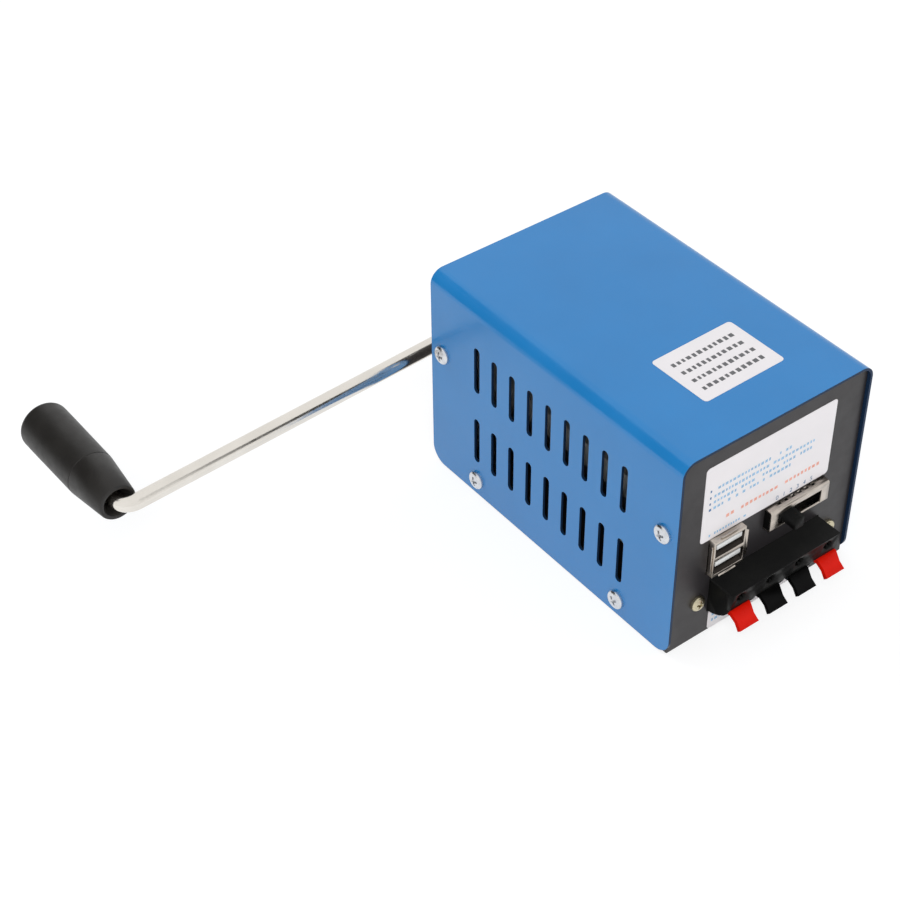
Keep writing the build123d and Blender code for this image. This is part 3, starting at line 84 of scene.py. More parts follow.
def low_high(node, axis):
    """The lowest and highest value of a solid along one axis, in millimetres."""
    low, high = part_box(node)
    return low[axis] / MM, high[axis] / MM


print("case:", [round(value, 1) for value in low_high("cover", 0) + low_high("cover", 2)])

# %% [markdown]
# ## Camera
# The picture is taken from the left, about 41 degrees above the table, with a long lens, so
# that the case's edges stay nearly parallel. The camera is placed by its bearing, height
# and distance from a point inside the case. It is then moved left and down, which puts the
# case right of and above the picture's middle, and rolled by less than a degree.

# %% Camera
BEARING = -36.8057
ELEVATION = 41.0772
ROLL = -0.7602
CASE_LENGTH = 0.128
DISTANCE = 5.43 * CASE_LENGTH
SHIFT_RIGHT = 0.5103 * CASE_LENGTH
SHIFT_UP = 0.0788 * CASE_LENGTH
AIM = Vector((0, 0, 0.3 * CASE_LENGTH))
LENS = 80.37

bearing = math.radians(BEARING)
elevation = math.radians(ELEVATION)
roll = math.radians(ROLL)
backward = Vector(
    (
        math.sin(bearing) * math.cos(elevation),
        -math.cos(bearing) * math.cos(elevation),
        math.sin(elevation),
    )
)
level = Vector((0, 0, 1)).cross(backward).normalized()
upright = backward.cross(level)
right = math.cos(roll) * level + math.sin(roll) * upright
up = -math.sin(roll) * level + math.cos(roll) * upright

lens = bpy.data.cameras.new("camera")
lens.sensor_width = 36
lens.lens = LENS
lens.clip_start = 0.01
camera = bpy.data.objects.new("camera", lens)
scene.collection.objects.link(camera)
place = AIM + backward * DISTANCE - right * SHIFT_RIGHT - up * SHIFT_UP
camera.matrix_world = Matrix.Translation(place) @ Matrix((right, up, backward)).transposed().to_4x4()
scene.camera = camera
print("camera at", [round(value, 3) for value in place])

# %% [markdown]
# ## Light
# The object stands in a soft tent of light. The tent's pale blue only lights surfaces. The
# camera, reflections and looks through glass see plain white instead, so the background is
# white however strong the tent is. A picture of a room would light the object too, but its
# windows would show in the paint.

# %% World
TENT_COLOUR = (0.93, 0.96, 1.0, 1)
TENT_STRENGTH = 0.52


def link(tree, source, target):
    """Join two sockets of one node tree."""
    tree.links.new(source, target)


def maths(tree, operation, first, second=0):
    """One operation on two values, each a number or a socket."""
    node = tree.nodes.new("ShaderNodeMath")
    node.operation = operation
    for socket, given in zip(node.inputs, (first, second)):
        if isinstance(given, bpy.types.NodeSocket):
            link(tree, given, socket)
        else:
            socket.default_value = given
    return node.outputs[0]


def seen_directly(tree):
    """One where the camera, a reflection or a look through glass sees the surface."""
    rays = tree.nodes.new("ShaderNodeLightPath").outputs
    shown = maths(tree, "MAXIMUM", rays["Is Camera Ray"], rays["Is Glossy Ray"])
    return maths(tree, "MAXIMUM", shown, rays["Is Transmission Ray"])


scene.view_settings.view_transform = "Standard"
world = bpy.data.worlds.new("tent")
world.use_nodes = True
scene.world = world
sky = world.node_tree
sky.nodes.clear()
tent = sky.nodes.new("ShaderNodeBackground")
tent.inputs["Color"].default_value = TENT_COLOUR
tent.inputs["Strength"].default_value = TENT_STRENGTH
backdrop = sky.nodes.new("ShaderNodeBackground")
backdrop.inputs["Color"].default_value = (1, 1, 1, 1)
backdrop.inputs["Strength"].default_value = 1.0
chosen = sky.nodes.new("ShaderNodeMixShader")
sky_out = sky.nodes.new("ShaderNodeOutputWorld")
link(sky, seen_directly(sky), chosen.inputs[0])
link(sky, tent.outputs[0], chosen.inputs[1])
link(sky, backdrop.outputs[0], chosen.inputs[2])
link(sky, chosen.outputs[0], sky_out.inputs["Surface"])
print("world:", world.name)

# %% [markdown]
# Three large round lamps shape the object: a key at the left front, a weaker one at the
# right and one behind. Small lamps would throw hard shadows. Reflections don't see the
# lamps, so that the paint shows no bright discs. Each has a place and a diameter in metres,
# and a power in watts.

# %% Lamps
LAMPS = {
    "key": ((-0.75, -0.75, 0.95), 0.7, 6.6),
    "fill": ((0.75, -0.65, 0.6), 0.8, 2.6),
    "rear": ((-0.3, 0.9, 0.8), 0.9, 3.4),
}
for name, (spot, size, power) in LAMPS.items():
    lamp = bpy.data.lights.new(name, "AREA")
    lamp.shape = "DISK"
    lamp.size = size
    lamp.energy = power
    holder = bpy.data.objects.new(name, lamp)
    scene.collection.objects.link(holder)
    holder.location = spot
    holder.rotation_euler = (AIM - Vector(spot)).to_track_quat("-Z", "Y").to_euler()
    holder.visible_glossy = False
print("lamps:", ", ".join(LAMPS))

# %% [markdown]
# Glossy paint shows what stands around it. A real studio is dark behind the lamps, and that
# dark is what gives the folded edges their deep blue and keeps black mouldings black. Two
# dark cards stand in for it. Only reflections see them, so they take no light away. Each
# has a middle, the direction that it faces, a width and a height.

# %% Dark cards
CARDS = {
    "card behind": ((-0.36, 0.50, 0.42), (0.588, -0.809, 0.0), 0.86, 0.84),
    "card in front": ((0.78, -1.15, 0.95), (0.0, 1.0, -0.35), 1.0, 0.9),
}
CLOTH_GLOW = 0.03


def empty_material(name):
    """A material and its node tree, cleared for a few nodes of its own."""
    material = bpy.data.materials.new(name)
    material.use_nodes = True
    material.node_tree.nodes.clear()
    return material, material.node_tree


def studio_sheet(name, wide, tall, material):
    """A flat rectangle in metres that belongs to the studio and not to the object."""
    corners = [(-wide / 2, -tall / 2, 0), (wide / 2, -tall / 2, 0)]
    corners += [(wide / 2, tall / 2, 0), (-wide / 2, tall / 2, 0)]
    mesh = bpy.data.meshes.new(name)
    mesh.from_pydata(corners, [], [(0, 1, 2, 3)])
    mesh.materials.append(material)
    sheet = bpy.data.objects.new(name, mesh)
    scene.collection.objects.link(sheet)
    return sheet


dark_cloth, cloth = empty_material("dark cloth")
cloth_glow = cloth.nodes.new("ShaderNodeEmission")
cloth_glow.inputs["Color"].default_value = (CLOTH_GLOW, CLOTH_GLOW, CLOTH_GLOW, 1)
link(cloth, cloth_glow.outputs[0], cloth.nodes.new("ShaderNodeOutputMaterial").inputs["Surface"])
for name, (centre, facing, wide, tall) in CARDS.items():
    card = studio_sheet(name, wide, tall, dark_cloth)
    card.location = centre
    card.rotation_euler = Vector(facing).to_track_quat("Z", "Y").to_euler()
    for ray in ("camera", "diffuse", "transmission", "volume_scatter", "shadow"):
        setattr(card, "visible_" + ray, False)
print("cards:", ", ".join(CARDS))

# %% [markdown]
# The object stands on white paper. Light that bounces off the paper meets a plain pale
# sheet. The camera and reflections meet a greyer one with a glow of its own: the glow keeps
# the paper white and the grey still takes the soft shadow. The paper lies a hair below the
# object, because two faces in one plane would flicker.

# %% Floor
FLOOR_SIZE = 6.0
FLOOR_DROP = 0.0002
PAPER_SHADE = 0.82
SEEN_SHADE = 0.34
SEEN_GLOW = 0.76

white_paper, paper = empty_material("white paper")
plain = paper.nodes.new("ShaderNodeBsdfDiffuse")
plain.inputs["Color"].default_value = (PAPER_SHADE, PAPER_SHADE, PAPER_SHADE, 1)
veil = paper.nodes.new("ShaderNodeBsdfDiffuse")
veil.inputs["Color"].default_value = (SEEN_SHADE, SEEN_SHADE, SEEN_SHADE, 1)
glow = paper.nodes.new("ShaderNodeEmission")
glow.inputs["Color"].default_value = (1, 1, 1, 1)
glow.inputs["Strength"].default_value = SEEN_GLOW
both = paper.nodes.new("ShaderNodeAddShader")
pick = paper.nodes.new("ShaderNodeMixShader")
paper_out = paper.nodes.new("ShaderNodeOutputMaterial")
link(paper, veil.outputs[0], both.inputs[0])
link(paper, glow.outputs[0], both.inputs[1])
link(paper, seen_directly(paper), pick.inputs[0])
link(paper, plain.outputs[0], pick.inputs[1])
link(paper, both.outputs[0], pick.inputs[2])
link(paper, pick.outputs[0], paper_out.inputs["Surface"])
floor = studio_sheet("floor", FLOOR_SIZE, FLOOR_SIZE, white_paper)
floor.location.z = -FLOOR_DROP
print("floor:", FLOOR_SIZE, "m square")

# %% [markdown]
# ## Finishes
# No real surface is one flat colour. Every finish here starts from the same recipe: two
# close shades mixed by a slow noise, a fine noise for the grain that bumps the surface, and
# a third noise that makes the shine uneven. A photograph of the surface could do it too,
# but a noise has no seams and fits any piece.

# %% Noise and blends


def noise(tree, place, scale, detail=3.0, stretch=None):
    """A noise whose features are about `scale` millimetres across."""
    if stretch:
        mapping = tree.nodes.new("ShaderNodeMapping")
        mapping.inputs["Scale"].default_value = stretch
        link(tree, place, mapping.inputs["Vector"])
        place = mapping.outputs[0]
    node = tree.nodes.new("ShaderNodeTexNoise")
    node.inputs["Scale"].default_value = 1 / (scale * MM)
    node.inputs["Detail"].default_value = detail
    link(tree, place, node.inputs["Vector"])
    return node.outputs["Fac"]


def spread(tree, value, low, high, start=0.3, end=0.7):
    """Stretch the values from start to end, the middle of a noise, onto those from low to high."""
    node = tree.nodes.new("ShaderNodeMapRange")
    node.inputs["From Min"].default_value = start
    node.inputs["From Max"].default_value = end
    node.inputs["To Min"].default_value = low
    node.inputs["To Max"].default_value = high
    link(tree, value, node.inputs["Value"])
    return node.outputs[0]


def blend_colours(tree, factor, first, second):
    """Two colours mixed by a factor; either may be a socket or a plain colour."""
    node = tree.nodes.new("ShaderNodeMix")
    node.data_type = "RGBA"
    link(tree, factor, node.inputs["Factor"])
    for socket, colour in ((node.inputs["A"], first), (node.inputs["B"], second)):
        if isinstance(colour, bpy.types.NodeSocket):
            link(tree, colour, socket)
        else:
            socket.default_value = (*colour, 1)
    return node.outputs["Result"]


# %% [markdown]
# Paint wears first along corners. They are found by comparing the true normal with one that
# is rounded off across the corner: on an open face the two agree, and near a corner they
# part. A mask painted by hand would have to be painted again for every change of shape.

# %% Worn edges
ROUNDING_SAMPLES = 6
FLAT_FACE = 0.97
SHARP_CORNER = 0.8


def rounded_normal(tree, radius):
    """The normal that a surface would have if its corners had this radius in millimetres."""
    node = tree.nodes.new("ShaderNodeBevel")
    node.samples = ROUNDING_SAMPLES
    node.inputs["Radius"].default_value = radius * MM
    return node.outputs[0]


def edge_mask(tree, width):
    """One along convex and concave corners, zero on open faces."""
    dot = tree.nodes.new("ShaderNodeVectorMath")
    dot.operation = "DOT_PRODUCT"
    link(tree, rounded_normal(tree, width), dot.inputs[0])
    link(tree, tree.nodes.new("ShaderNodeNewGeometry").outputs["Normal"], dot.inputs[1])
    return spread(tree, dot.outputs["Value"], 0, 1, FLAT_FACE, SHARP_CORNER)


# %% [markdown]
# The cover's rims, slot walls and inside are painted almost navy, with little gloss: painted
# shade for the dark gap between cover and panel and for the unlit inside of the sheet. The
# blue outside is told from the rest by two tests: a face that looks sideways within half a
# sheet of the widest, or one that looks up above the start of the fold. The socket's hollow
# is found from its place in the same way and painted dark as shade, because the white
# surroundings would light it up, where a real socket stays dim.

# %% Painted shade on rims and in hollows
SHEET = 1.0
FOLD_RADIUS = 5.2
COVER_X = low_high("cover", 0)[1]
COVER_LOW, COVER_TOP = low_high("cover", 2)
LOOKS_UP = 0.02
LOOKS_OUT = 0.5


def split(tree, vector):
    """The X, Y and Z sockets of a vector."""
    node = tree.nodes.new("ShaderNodeSeparateXYZ")
    link(tree, vector, node.inputs[0])
    return node.outputs


def cut_mask(tree, place):
    """One on the folded sheet's rims, slot walls and inside, where shade is painted, zero on its blue
    outside.
    """
    facing = split(tree, tree.nodes.new("ShaderNodeNewGeometry").outputs["True Normal"])
    where = split(tree, place)
    fold_start = (COVER_TOP - FOLD_RADIUS - SHEET) * MM
    half_sheet_in = (COVER_X - SHEET / 2) * MM
    looks_up = maths(tree, "GREATER_THAN", facing["Z"], LOOKS_UP)
    high_up = maths(tree, "GREATER_THAN", where["Z"], fold_start)
    looks_out = maths(tree, "GREATER_THAN", maths(tree, "ABSOLUTE", facing["X"]), LOOKS_OUT)
    outermost = maths(tree, "GREATER_THAN", maths(tree, "ABSOLUTE", where["X"]), half_sheet_in)
    painted_top = maths(tree, "MULTIPLY", looks_up, high_up)
    painted_side = maths(tree, "MULTIPLY", looks_out, outermost)
    return maths(tree, "SUBTRACT", 1, maths(tree, "MAXIMUM", painted_top, painted_side))


def hollow_mask(tree, place, middle_x, middle_z, half_width, half_height, mouth):
    """One inside a box-shaped hollow behind its mouth, where shade is painted, all in millimetres."""
    where = split(tree, place)
    shade_mask = maths(tree, "GREATER_THAN", where["Y"], mouth * MM)
    for axis, centre, half in (("X", middle_x, half_width), ("Z", middle_z, half_height)):
        away = maths(tree, "SUBTRACT", where[axis], centre * MM)
        near = maths(tree, "LESS_THAN", maths(tree, "ABSOLUTE", away), half * MM)
        shade_mask = maths(tree, "MULTIPLY", shade_mask, near)
    return shade_mask


# %% [markdown]
# One function puts the recipe together. Its `blotch` and `grain` are the sizes of the colour
# drift and of the grain, `bump` is the grain's depth and `wear` the width of worn edges, all
# in millimetres. `shine` is a range of roughness, and `stretch` draws the grain out along an
# axis, as on rolled or stacked sheets.

# %% A finish
EDGE_RADIUS = 0.15
SCUFF_SIZE = 1.1
SCUFF_RANGE = (0.46, 0.62)
SHINE_SHARE = 0.35
# The cover's rims lose most of their gloss along with their painted shade.
RIM_SHADE_GLOSS = 0.1
# The colour of the painted shade inside the socket's hollow.
HOLLOW_SHADE_COLOUR = (0.035, 0.03, 0.026)


def finish(
    name, colour, second, metal=0.0, shine=(0.35, 0.45), blotch=9.0, grain=0.4, bump=0.05,
    worn=None, wear=0.25, stretch=None, gloss=0.5, cut=None, hollow_shade=None,
):
    """A finish with colour drift, uneven shine and fine grain.

    Where asked for, it has worn corners, a near-navy painted shade on rims and a painted shade in a hollow
    as well.
    """
    material = bpy.data.materials.new(name)
    material.use_nodes = True
    tree = material.node_tree
    shader = tree.nodes["Principled BSDF"]
    shader.inputs["Metallic"].default_value = metal
    shader.inputs["Specular IOR Level"].default_value = gloss
    place = tree.nodes.new("ShaderNodeTexCoord").outputs["Object"]
    drift = noise(tree, place, blotch, detail=4.0)
    tint = blend_colours(tree, spread(tree, drift, 0, 1), colour, second)
    if worn:
        patches = spread(tree, noise(tree, place, SCUFF_SIZE, detail=6.0), 0, 1, *SCUFF_RANGE)
        scuffs = maths(tree, "MULTIPLY", edge_mask(tree, wear), patches)
        tint = blend_colours(tree, scuffs, tint, worn)
    # Painted shade: the cover's rims, slot walls and inside turn near-navy and lose gloss.
    if cut:
        shade_mask = cut_mask(tree, place)
        tint = blend_colours(tree, shade_mask, tint, cut)
        link(tree, spread(tree, shade_mask, gloss, RIM_SHADE_GLOSS, 0, 1), shader.inputs["Specular IOR Level"])
    # Painted shade: the socket's hollow is darkened, as a real one stays dim.
    if hollow_shade:
        tint = blend_colours(tree, hollow_mask(tree, place, *hollow_shade), tint, HOLLOW_SHADE_COLOUR)
    link(tree, tint, shader.inputs["Base Color"])
    uneven = noise(tree, place, blotch * SHINE_SHARE, detail=5.0, stretch=stretch)
    link(tree, spread(tree, uneven, *shine), shader.inputs["Roughness"])
    relief = tree.nodes.new("ShaderNodeBump")
    relief.inputs["Strength"].default_value = 1.0
    relief.inputs["Distance"].default_value = bump * MM
    link(tree, noise(tree, place, grain, detail=2.0, stretch=stretch), relief.inputs["Height"])
    link(tree, rounded_normal(tree, EDGE_RADIUS), relief.inputs["Normal"])
    link(tree, relief.outputs[0], shader.inputs["Normal"])
    return material


# %% [markdown]
# The case is powder coated: a clear blue with a very fine orange peel and a slightly darker
# drift. The inner sheet is a dark grey, nearly black satin coat. Labels are glossy white
# vinyl. Each finish is kept under the name of its slot in the drawing.

# %% Case and labels
SLOTS = {
    "cover_paint": finish(
        "blue powder coat", (0.0155, 0.228, 0.575), (0.0135, 0.212, 0.540), shine=(0.17, 0.25),
        blotch=26, grain=0.55, bump=0.010, worn=(0.012, 0.14, 0.38), wear=0.35, gloss=0.55,
        # cut: the near-navy painted shade on rims, slot walls and inside
        cut=(0.012, 0.032, 0.075),
    ),
    "panel_coat": finish(
        "dark grey panel coat", (0.026, 0.0235, 0.025), (0.019, 0.0165, 0.018), shine=(0.36, 0.46),
        blotch=14, grain=0.5, bump=0.015, worn=(0.06, 0.056, 0.056), gloss=0.4,
    ),
    "label": finish(
        "white vinyl", (0.93, 0.885, 0.89), (0.90, 0.86, 0.865), shine=(0.28, 0.38),
        blotch=12, grain=0.8, bump=0.006,
    ),
}
print("case finishes:", ", ".join(SLOTS))

# %% [markdown]
# The metals outside are bright nickel on the rod, duller nickel on the rolled sheet of the
# socket, and bright and yellow zinc on the screws. A plated part differs from a painted one
# in being fully metallic: its colour is the colour of its reflection.

# %% Plated metals
# Painted shade in the socket's hollow: middle x and z, half width and height, mouth's y, in mm.
SOCKET_SHADE_BOX = (-18.5, 36.0, 6.33, 6.67, -65.2)
SLOTS |= {
    "bright_screw": finish(
        "bright zinc", (0.74, 0.75, 0.76), (0.62, 0.63, 0.66), metal=1.0, shine=(0.22, 0.34),
        blotch=1.6, grain=0.3, bump=0.01,
    ),
    "yellow_screw": finish(
        "yellow zinc", (0.66, 0.60, 0.42), (0.52, 0.47, 0.33), metal=1.0, shine=(0.26, 0.4),
        blotch=1.5, grain=0.3, bump=0.01,
    ),
    "socket_metal": finish(
        "nickel sheet", (0.60, 0.545, 0.485), (0.46, 0.41, 0.36), metal=1.0, shine=(0.24, 0.36),
        # hollow: painted shade inside the socket
        blotch=5, grain=0.25, bump=0.008, stretch=(0.15, 1, 1), hollow_shade=SOCKET_SHADE_BOX,
    ),
    "rod_plate": finish(
        "bright nickel plate", (0.78, 0.745, 0.69), (0.72, 0.685, 0.63), metal=1.0, shine=(0.13, 0.2),
        blotch=10, grain=0.5, bump=0.004,
    ),
}
print("finishes so far:", len(SLOTS))

# %% [markdown]
# The mouldings are a satin black grip, a black block, red and black levers and milky
# tongues. Black and red plastics have little gloss of their own here, because under a white
# sky a full one would turn them grey and pink.

# %% Mouldings
SLOTS |= {
    "white_plastic": finish(
        "milky plastic", (0.82, 0.82, 0.80), (0.76, 0.76, 0.74), blotch=4, bump=0.01
    ),
    "black_plastic": finish(
        "black moulding", (0.0065, 0.0065, 0.006), (0.004, 0.004, 0.004), shine=(0.40, 0.52),
        blotch=6, grain=0.3, bump=0.02, worn=(0.02, 0.02, 0.019), gloss=0.1,
    ),
    "red_plastic": finish(
        "red moulding", (0.82, 0.012, 0.004), (0.76, 0.010, 0.003), shine=(0.26, 0.36),
        blotch=5, grain=0.5, bump=0.015, gloss=0.14,
    ),
    "lever_black": finish(
        "black lever moulding", (0.005, 0.005, 0.005), (0.003, 0.003, 0.003), shine=(0.34, 0.45),
        blotch=5, grain=0.5, bump=0.015, gloss=0.07,
    ),
    "grip_plastic": finish(
        "satin black grip", (0.0205, 0.0185, 0.0165), (0.015, 0.0135, 0.012), shine=(0.40, 0.5),
        blotch=8, grain=0.5, bump=0.03, worn=(0.04, 0.04, 0.038), gloss=0.38,
    ),
}
print("finishes so far:", len(SLOTS))

# %% [markdown]
# Inside the case little is seen, but somebody may open it one day. Gears, generator and
# board get plain finishes by the same recipe. The rotor's stacked sheets have their grain
# drawn out across the shaft, and the windings along it. With the table of finishes full,
# every solid gets the finish of its slot.

# %% Inside parts
SLOTS |= {
    "steel": finish("turned steel", (0.50, 0.50, 0.50), (0.42, 0.42, 0.43), metal=1.0, shine=(0.25, 0.38)),
    "plate_steel": finish(
        "zinc plated sheet", (0.55, 0.56, 0.58), (0.46, 0.47, 0.50), metal=1.0, shine=(0.3, 0.45), blotch=7
    ),
    "brass": finish("brass", (0.70, 0.50, 0.20), (0.58, 0.41, 0.16), metal=1.0, shine=(0.26, 0.4), blotch=4),
    "nylon": finish("natural nylon", (0.74, 0.71, 0.62), (0.68, 0.65, 0.56), shine=(0.4, 0.5), blotch=6),
    "can_steel": finish(
        "plated can", (0.48, 0.48, 0.47), (0.40, 0.40, 0.40), metal=1.0, shine=(0.28, 0.42), blotch=8
    ),
    "magnet": finish("ferrite", (0.05, 0.048, 0.046), (0.035, 0.034, 0.033), shine=(0.55, 0.7)),
    "core_steel": finish(
        "stacked sheets", (0.30, 0.30, 0.31), (0.22, 0.22, 0.23), metal=1.0, shine=(0.35, 0.5),
        grain=0.5, bump=0.06, stretch=(0.02, 1, 0.02),
    ),
    "copper": finish(
        "enamelled copper", (0.55, 0.20, 0.07), (0.44, 0.14, 0.05), metal=0.8, shine=(0.25, 0.4),
        grain=0.45, bump=0.12, stretch=(1, 0.05, 1),
    ),
    "carbon": finish("carbon", (0.03, 0.03, 0.03), (0.02, 0.02, 0.02), shine=(0.5, 0.65)),
    "board": finish(
        "green board", (0.012, 0.11, 0.045), (0.009, 0.085, 0.035), shine=(0.25, 0.35), blotch=3
    ),
    "sleeve": finish("dark blue sleeve", (0.02, 0.03, 0.07), (0.015, 0.022, 0.055), shine=(0.25, 0.35)),
    "chip_black": finish("moulded epoxy", (0.02, 0.02, 0.02), (0.014, 0.014, 0.014), shine=(0.5, 0.65)),
    "aluminium": finish("extruded aluminium", (0.62, 0.63, 0.64), (0.54, 0.55, 0.56), metal=1.0),
    "choke": finish("wound choke", (0.42, 0.16, 0.05), (0.30, 0.10, 0.03), metal=0.6, grain=0.7, bump=0.2),
    "lead": finish("red lead", (0.45, 0.02, 0.015), (0.36, 0.016, 0.012), shine=(0.35, 0.45)),
}
node_slot = {part["node"]: part["material_slot"] for part in frame["record"]["subparts"]}
for node, solid in frame["nodes"].items():
    solid.data.materials.clear()
    solid.data.materials.append(SLOTS[node_slot[node]])
print("finishes on", len(node_slot), "solids")

# %% [markdown]
# ## Building pieces
# A piece is built as a bmesh, Blender's workbench for single points and faces. When it is
# done it gets a name, the finish of a slot and the body that it moves with. Faces that meet
# at a small angle are shaded as one smooth skin, and the others keep their corner.

# %% A named piece


def make_piece(name, mesh_bm, body, slot, sharp=32):
    """Turn a bmesh into a named piece that rides on a body and wears a slot's finish."""
    mesh = bpy.data.meshes.new(name)
    bmesh.ops.recalc_face_normals(mesh_bm, faces=mesh_bm.faces)
    mesh_bm.to_mesh(mesh)
    mesh_bm.free()
    mesh.shade_smooth()
    mesh.set_sharp_from_angle(angle=math.radians(sharp))
    mesh.materials.append(SLOTS[slot])
    piece = bpy.data.objects.new(name, mesh)
    scene.collection.objects.link(piece)
    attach(piece, body)
    print(name, "has", len(mesh.polygons), "faces")
    return piece


# %% [markdown]
# Turned pieces come from one helper that spins a list of radii and heights. A screw modifier
# could do it as well, but rings of points can be set in place at once, and the same joining
# of rings serves the bent rod.

# %% Rings of points


def circle(count):
    """Cosine and sine at even steps around a circle."""
    turns = [2 * math.pi * step / count for step in range(count)]
    return [(math.cos(turn), math.sin(turn)) for turn in turns]


def join_rings(mesh_bm, rings, count):
    """The skin between rings of points, where a ring may also be a single point."""
    for lower, upper in zip(rings, rings[1:]):
        for step in range(count):
            after = (step + 1) % count
            corners = [lower[step % len(lower)], lower[after % len(lower)]]
            corners += [upper[after % len(upper)], upper[step % len(upper)]]
            face = list(dict.fromkeys(corners))
            if len(face) > 2:
                mesh_bm.faces.new(face)


def spin(mesh_bm, stations, place, segments=64):
    """Spin (radius, height) stations in millimetres about Z, then move them by a matrix."""
    rings = []
    for radius, height in stations:
        spokes = circle(segments) if radius else [(0, 0)]
        rings.append([mesh_bm.verts.new(place @ mm(radius * x, radius * y, height)) for x, y in spokes])
    join_rings(mesh_bm, rings, segments)


# %% [markdown]
# Folded and cut shapes start as prisms, whose outlines may hold arcs. Holes, slots and
# recesses are then cut out by a boolean, because one that is only drawn would not hold a
# shadow. The exact solver is slower than the fast one, but leaves no ragged edges.

# %% Prisms, arcs and cuts


def prism(mesh_bm, outline, direction):
    """A prism from a closed outline of 3-D points in millimetres, carried along a direction."""
    near = [mesh_bm.verts.new(mm(*point)) for point in outline]
    far = [mesh_bm.verts.new(vert.co + mm(*direction)) for vert in near]
    mesh_bm.faces.new(near)
    mesh_bm.faces.new(far[::-1])
    for step in range(len(near)):
        after = (step + 1) % len(near)
        mesh_bm.faces.new((near[step], near[after], far[after], far[step]))


def arc(centre, radius, first, last, steps):
    """Points of an arc in a plane, from one angle to another in degrees."""
    turns = [math.radians(first + (last - first) * step / steps) for step in range(steps + 1)]
    return [(centre[0] + radius * math.cos(turn), centre[1] + radius * math.sin(turn)) for turn in turns]


def carved(solid_bm, cutter_bm):
    """What is left of one bmesh after another is cut out of it."""
    made = []
    for mesh_bm in (solid_bm, cutter_bm):
        bmesh.ops.recalc_face_normals(mesh_bm, faces=mesh_bm.faces)
        mesh = bpy.data.meshes.new("blank")
        mesh_bm.to_mesh(mesh)
        mesh_bm.free()
        made.append(bpy.data.objects.new("blank", mesh))
        scene.collection.objects.link(made[-1])
    cut = made[0].modifiers.new("cut", "BOOLEAN")
    cut.operation = "DIFFERENCE"
    cut.solver = "EXACT"
    cut.use_self = True
    cut.object = made[1]
    bpy.context.view_layer.update()
    ready = made[0].evaluated_get(bpy.context.evaluated_depsgraph_get())
    result = bmesh.new()
    result.from_mesh(ready.to_mesh())
    ready.to_mesh_clear()
    for blank in made:
        bpy.data.objects.remove(blank)
    return result


# %% [markdown]
# ## The cover
# The cover is one sheet folded over the top and both sides. The drawing keeps its folds and
# slots angular to stay light, so here the sheet is made again. It starts as the folded
# profile, drawn out along the case with its bends as true arcs.

# %% The folded sheet
COVER_Y = low_high("cover", 1)[1]
FOLD_STEPS = 16


def cover_profile(inset):
    """One side of the folded profile, from the lower edge up and around the fold."""
    fold = (COVER_X - FOLD_RADIUS, COVER_TOP - FOLD_RADIUS)
    return [(COVER_X - inset, COVER_LOW)] + arc(fold, FOLD_RADIUS - inset, 0, 90, FOLD_STEPS)


outer = cover_profile(0)
inner = cover_profile(SHEET)
outer += [(-x, z) for x, z in reversed(outer)]
inner += [(-x, z) for x, z in reversed(inner)]
sheet = bmesh.new()
prism(sheet, [(x, -COVER_Y, z) for x, z in outer + inner[::-1]], (0, 2 * COVER_Y, 0))
print("the folded profile has", len(outer + inner), "points")

# %% [markdown]
# Each side has two rows of upright slots with round ends, and lower corners that are rounded
# off. Slots and corners are cut through both walls at once, as one punch would, so the two
# sides always match.

# %% Slots and corners
CORNER_RADIUS = 6.5
VENT_COLUMNS = 9
VENT_PITCH = 9.55
VENT_WIDTH = 3.0
VENT_HEIGHT = 19.4
VENT_ROW_PITCH = 31.5
VENT_MIDDLE = 40.85
PAST = 2
END_STEPS = 10
CORNER_STEPS = 12

punch = bmesh.new()
reach = COVER_X + PAST
half_slot = (VENT_HEIGHT - VENT_WIDTH) / 2
for column in range(VENT_COLUMNS):
    y = (column - (VENT_COLUMNS - 1) / 2) * VENT_PITCH
    for row in (-1, 1):
        z = VENT_MIDDLE + row * VENT_ROW_PITCH / 2
        vent = arc((y, z + half_slot), VENT_WIDTH / 2, 0, 180, END_STEPS)
        vent += arc((y, z - half_slot), VENT_WIDTH / 2, 180, 360, END_STEPS)
        prism(punch, [(-reach, u, v) for u, v in vent], (2 * reach, 0, 0))
round_middle = (COVER_Y - CORNER_RADIUS, COVER_LOW + CORNER_RADIUS)
corner = arc(round_middle, CORNER_RADIUS, 270, 360, CORNER_STEPS)
corner += [(COVER_Y + PAST, COVER_LOW + CORNER_RADIUS), (COVER_Y + PAST, COVER_LOW - PAST)]
corner += [(COVER_Y - CORNER_RADIUS, COVER_LOW - PAST)]
for end in (-1, 1):
    prism(punch, [(-reach, end * u, v) for u, v in corner], (2 * reach, 0, 0))
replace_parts(make_piece("folded_cover", carved(sheet, punch), "case", "cover_paint", sharp=25), "cover")

# %% [markdown]
# ## Screw heads
# The case is held by pan-head screws with a cross recess. A screw is spun from its outline,
# from the tip of the shank to the crown of the head, and two crossed tapered blocks are cut
# out of the head. The head's curve and the cross are shares of its radius and height, so
# that one function makes every size.

# %% One cross-head screw
SHANK_RADIUS = 1.45
TIP_RADIUS = 1.1
TIP_LENGTH = 0.4
DOME_STEPS = 8
DOME_START = 0.3
DOME_RISE = 0.55
DOME_INSET = 0.38
CROWN = ((0.4, 0.95), (0.2, 0.99), (0, 1))
CROSS_REACH = 0.62
CROSS_WIDTH = 0.14
CROSS_DEPTH = 0.62
CROSS_TOP = 1.1
WING_TAPER = (0.45, 0.75)
WING_FACES = ((3, 2, 1, 0), (4, 5, 6, 7), (0, 1, 5, 4), (1, 2, 6, 5), (2, 3, 7, 6), (3, 0, 4, 7))


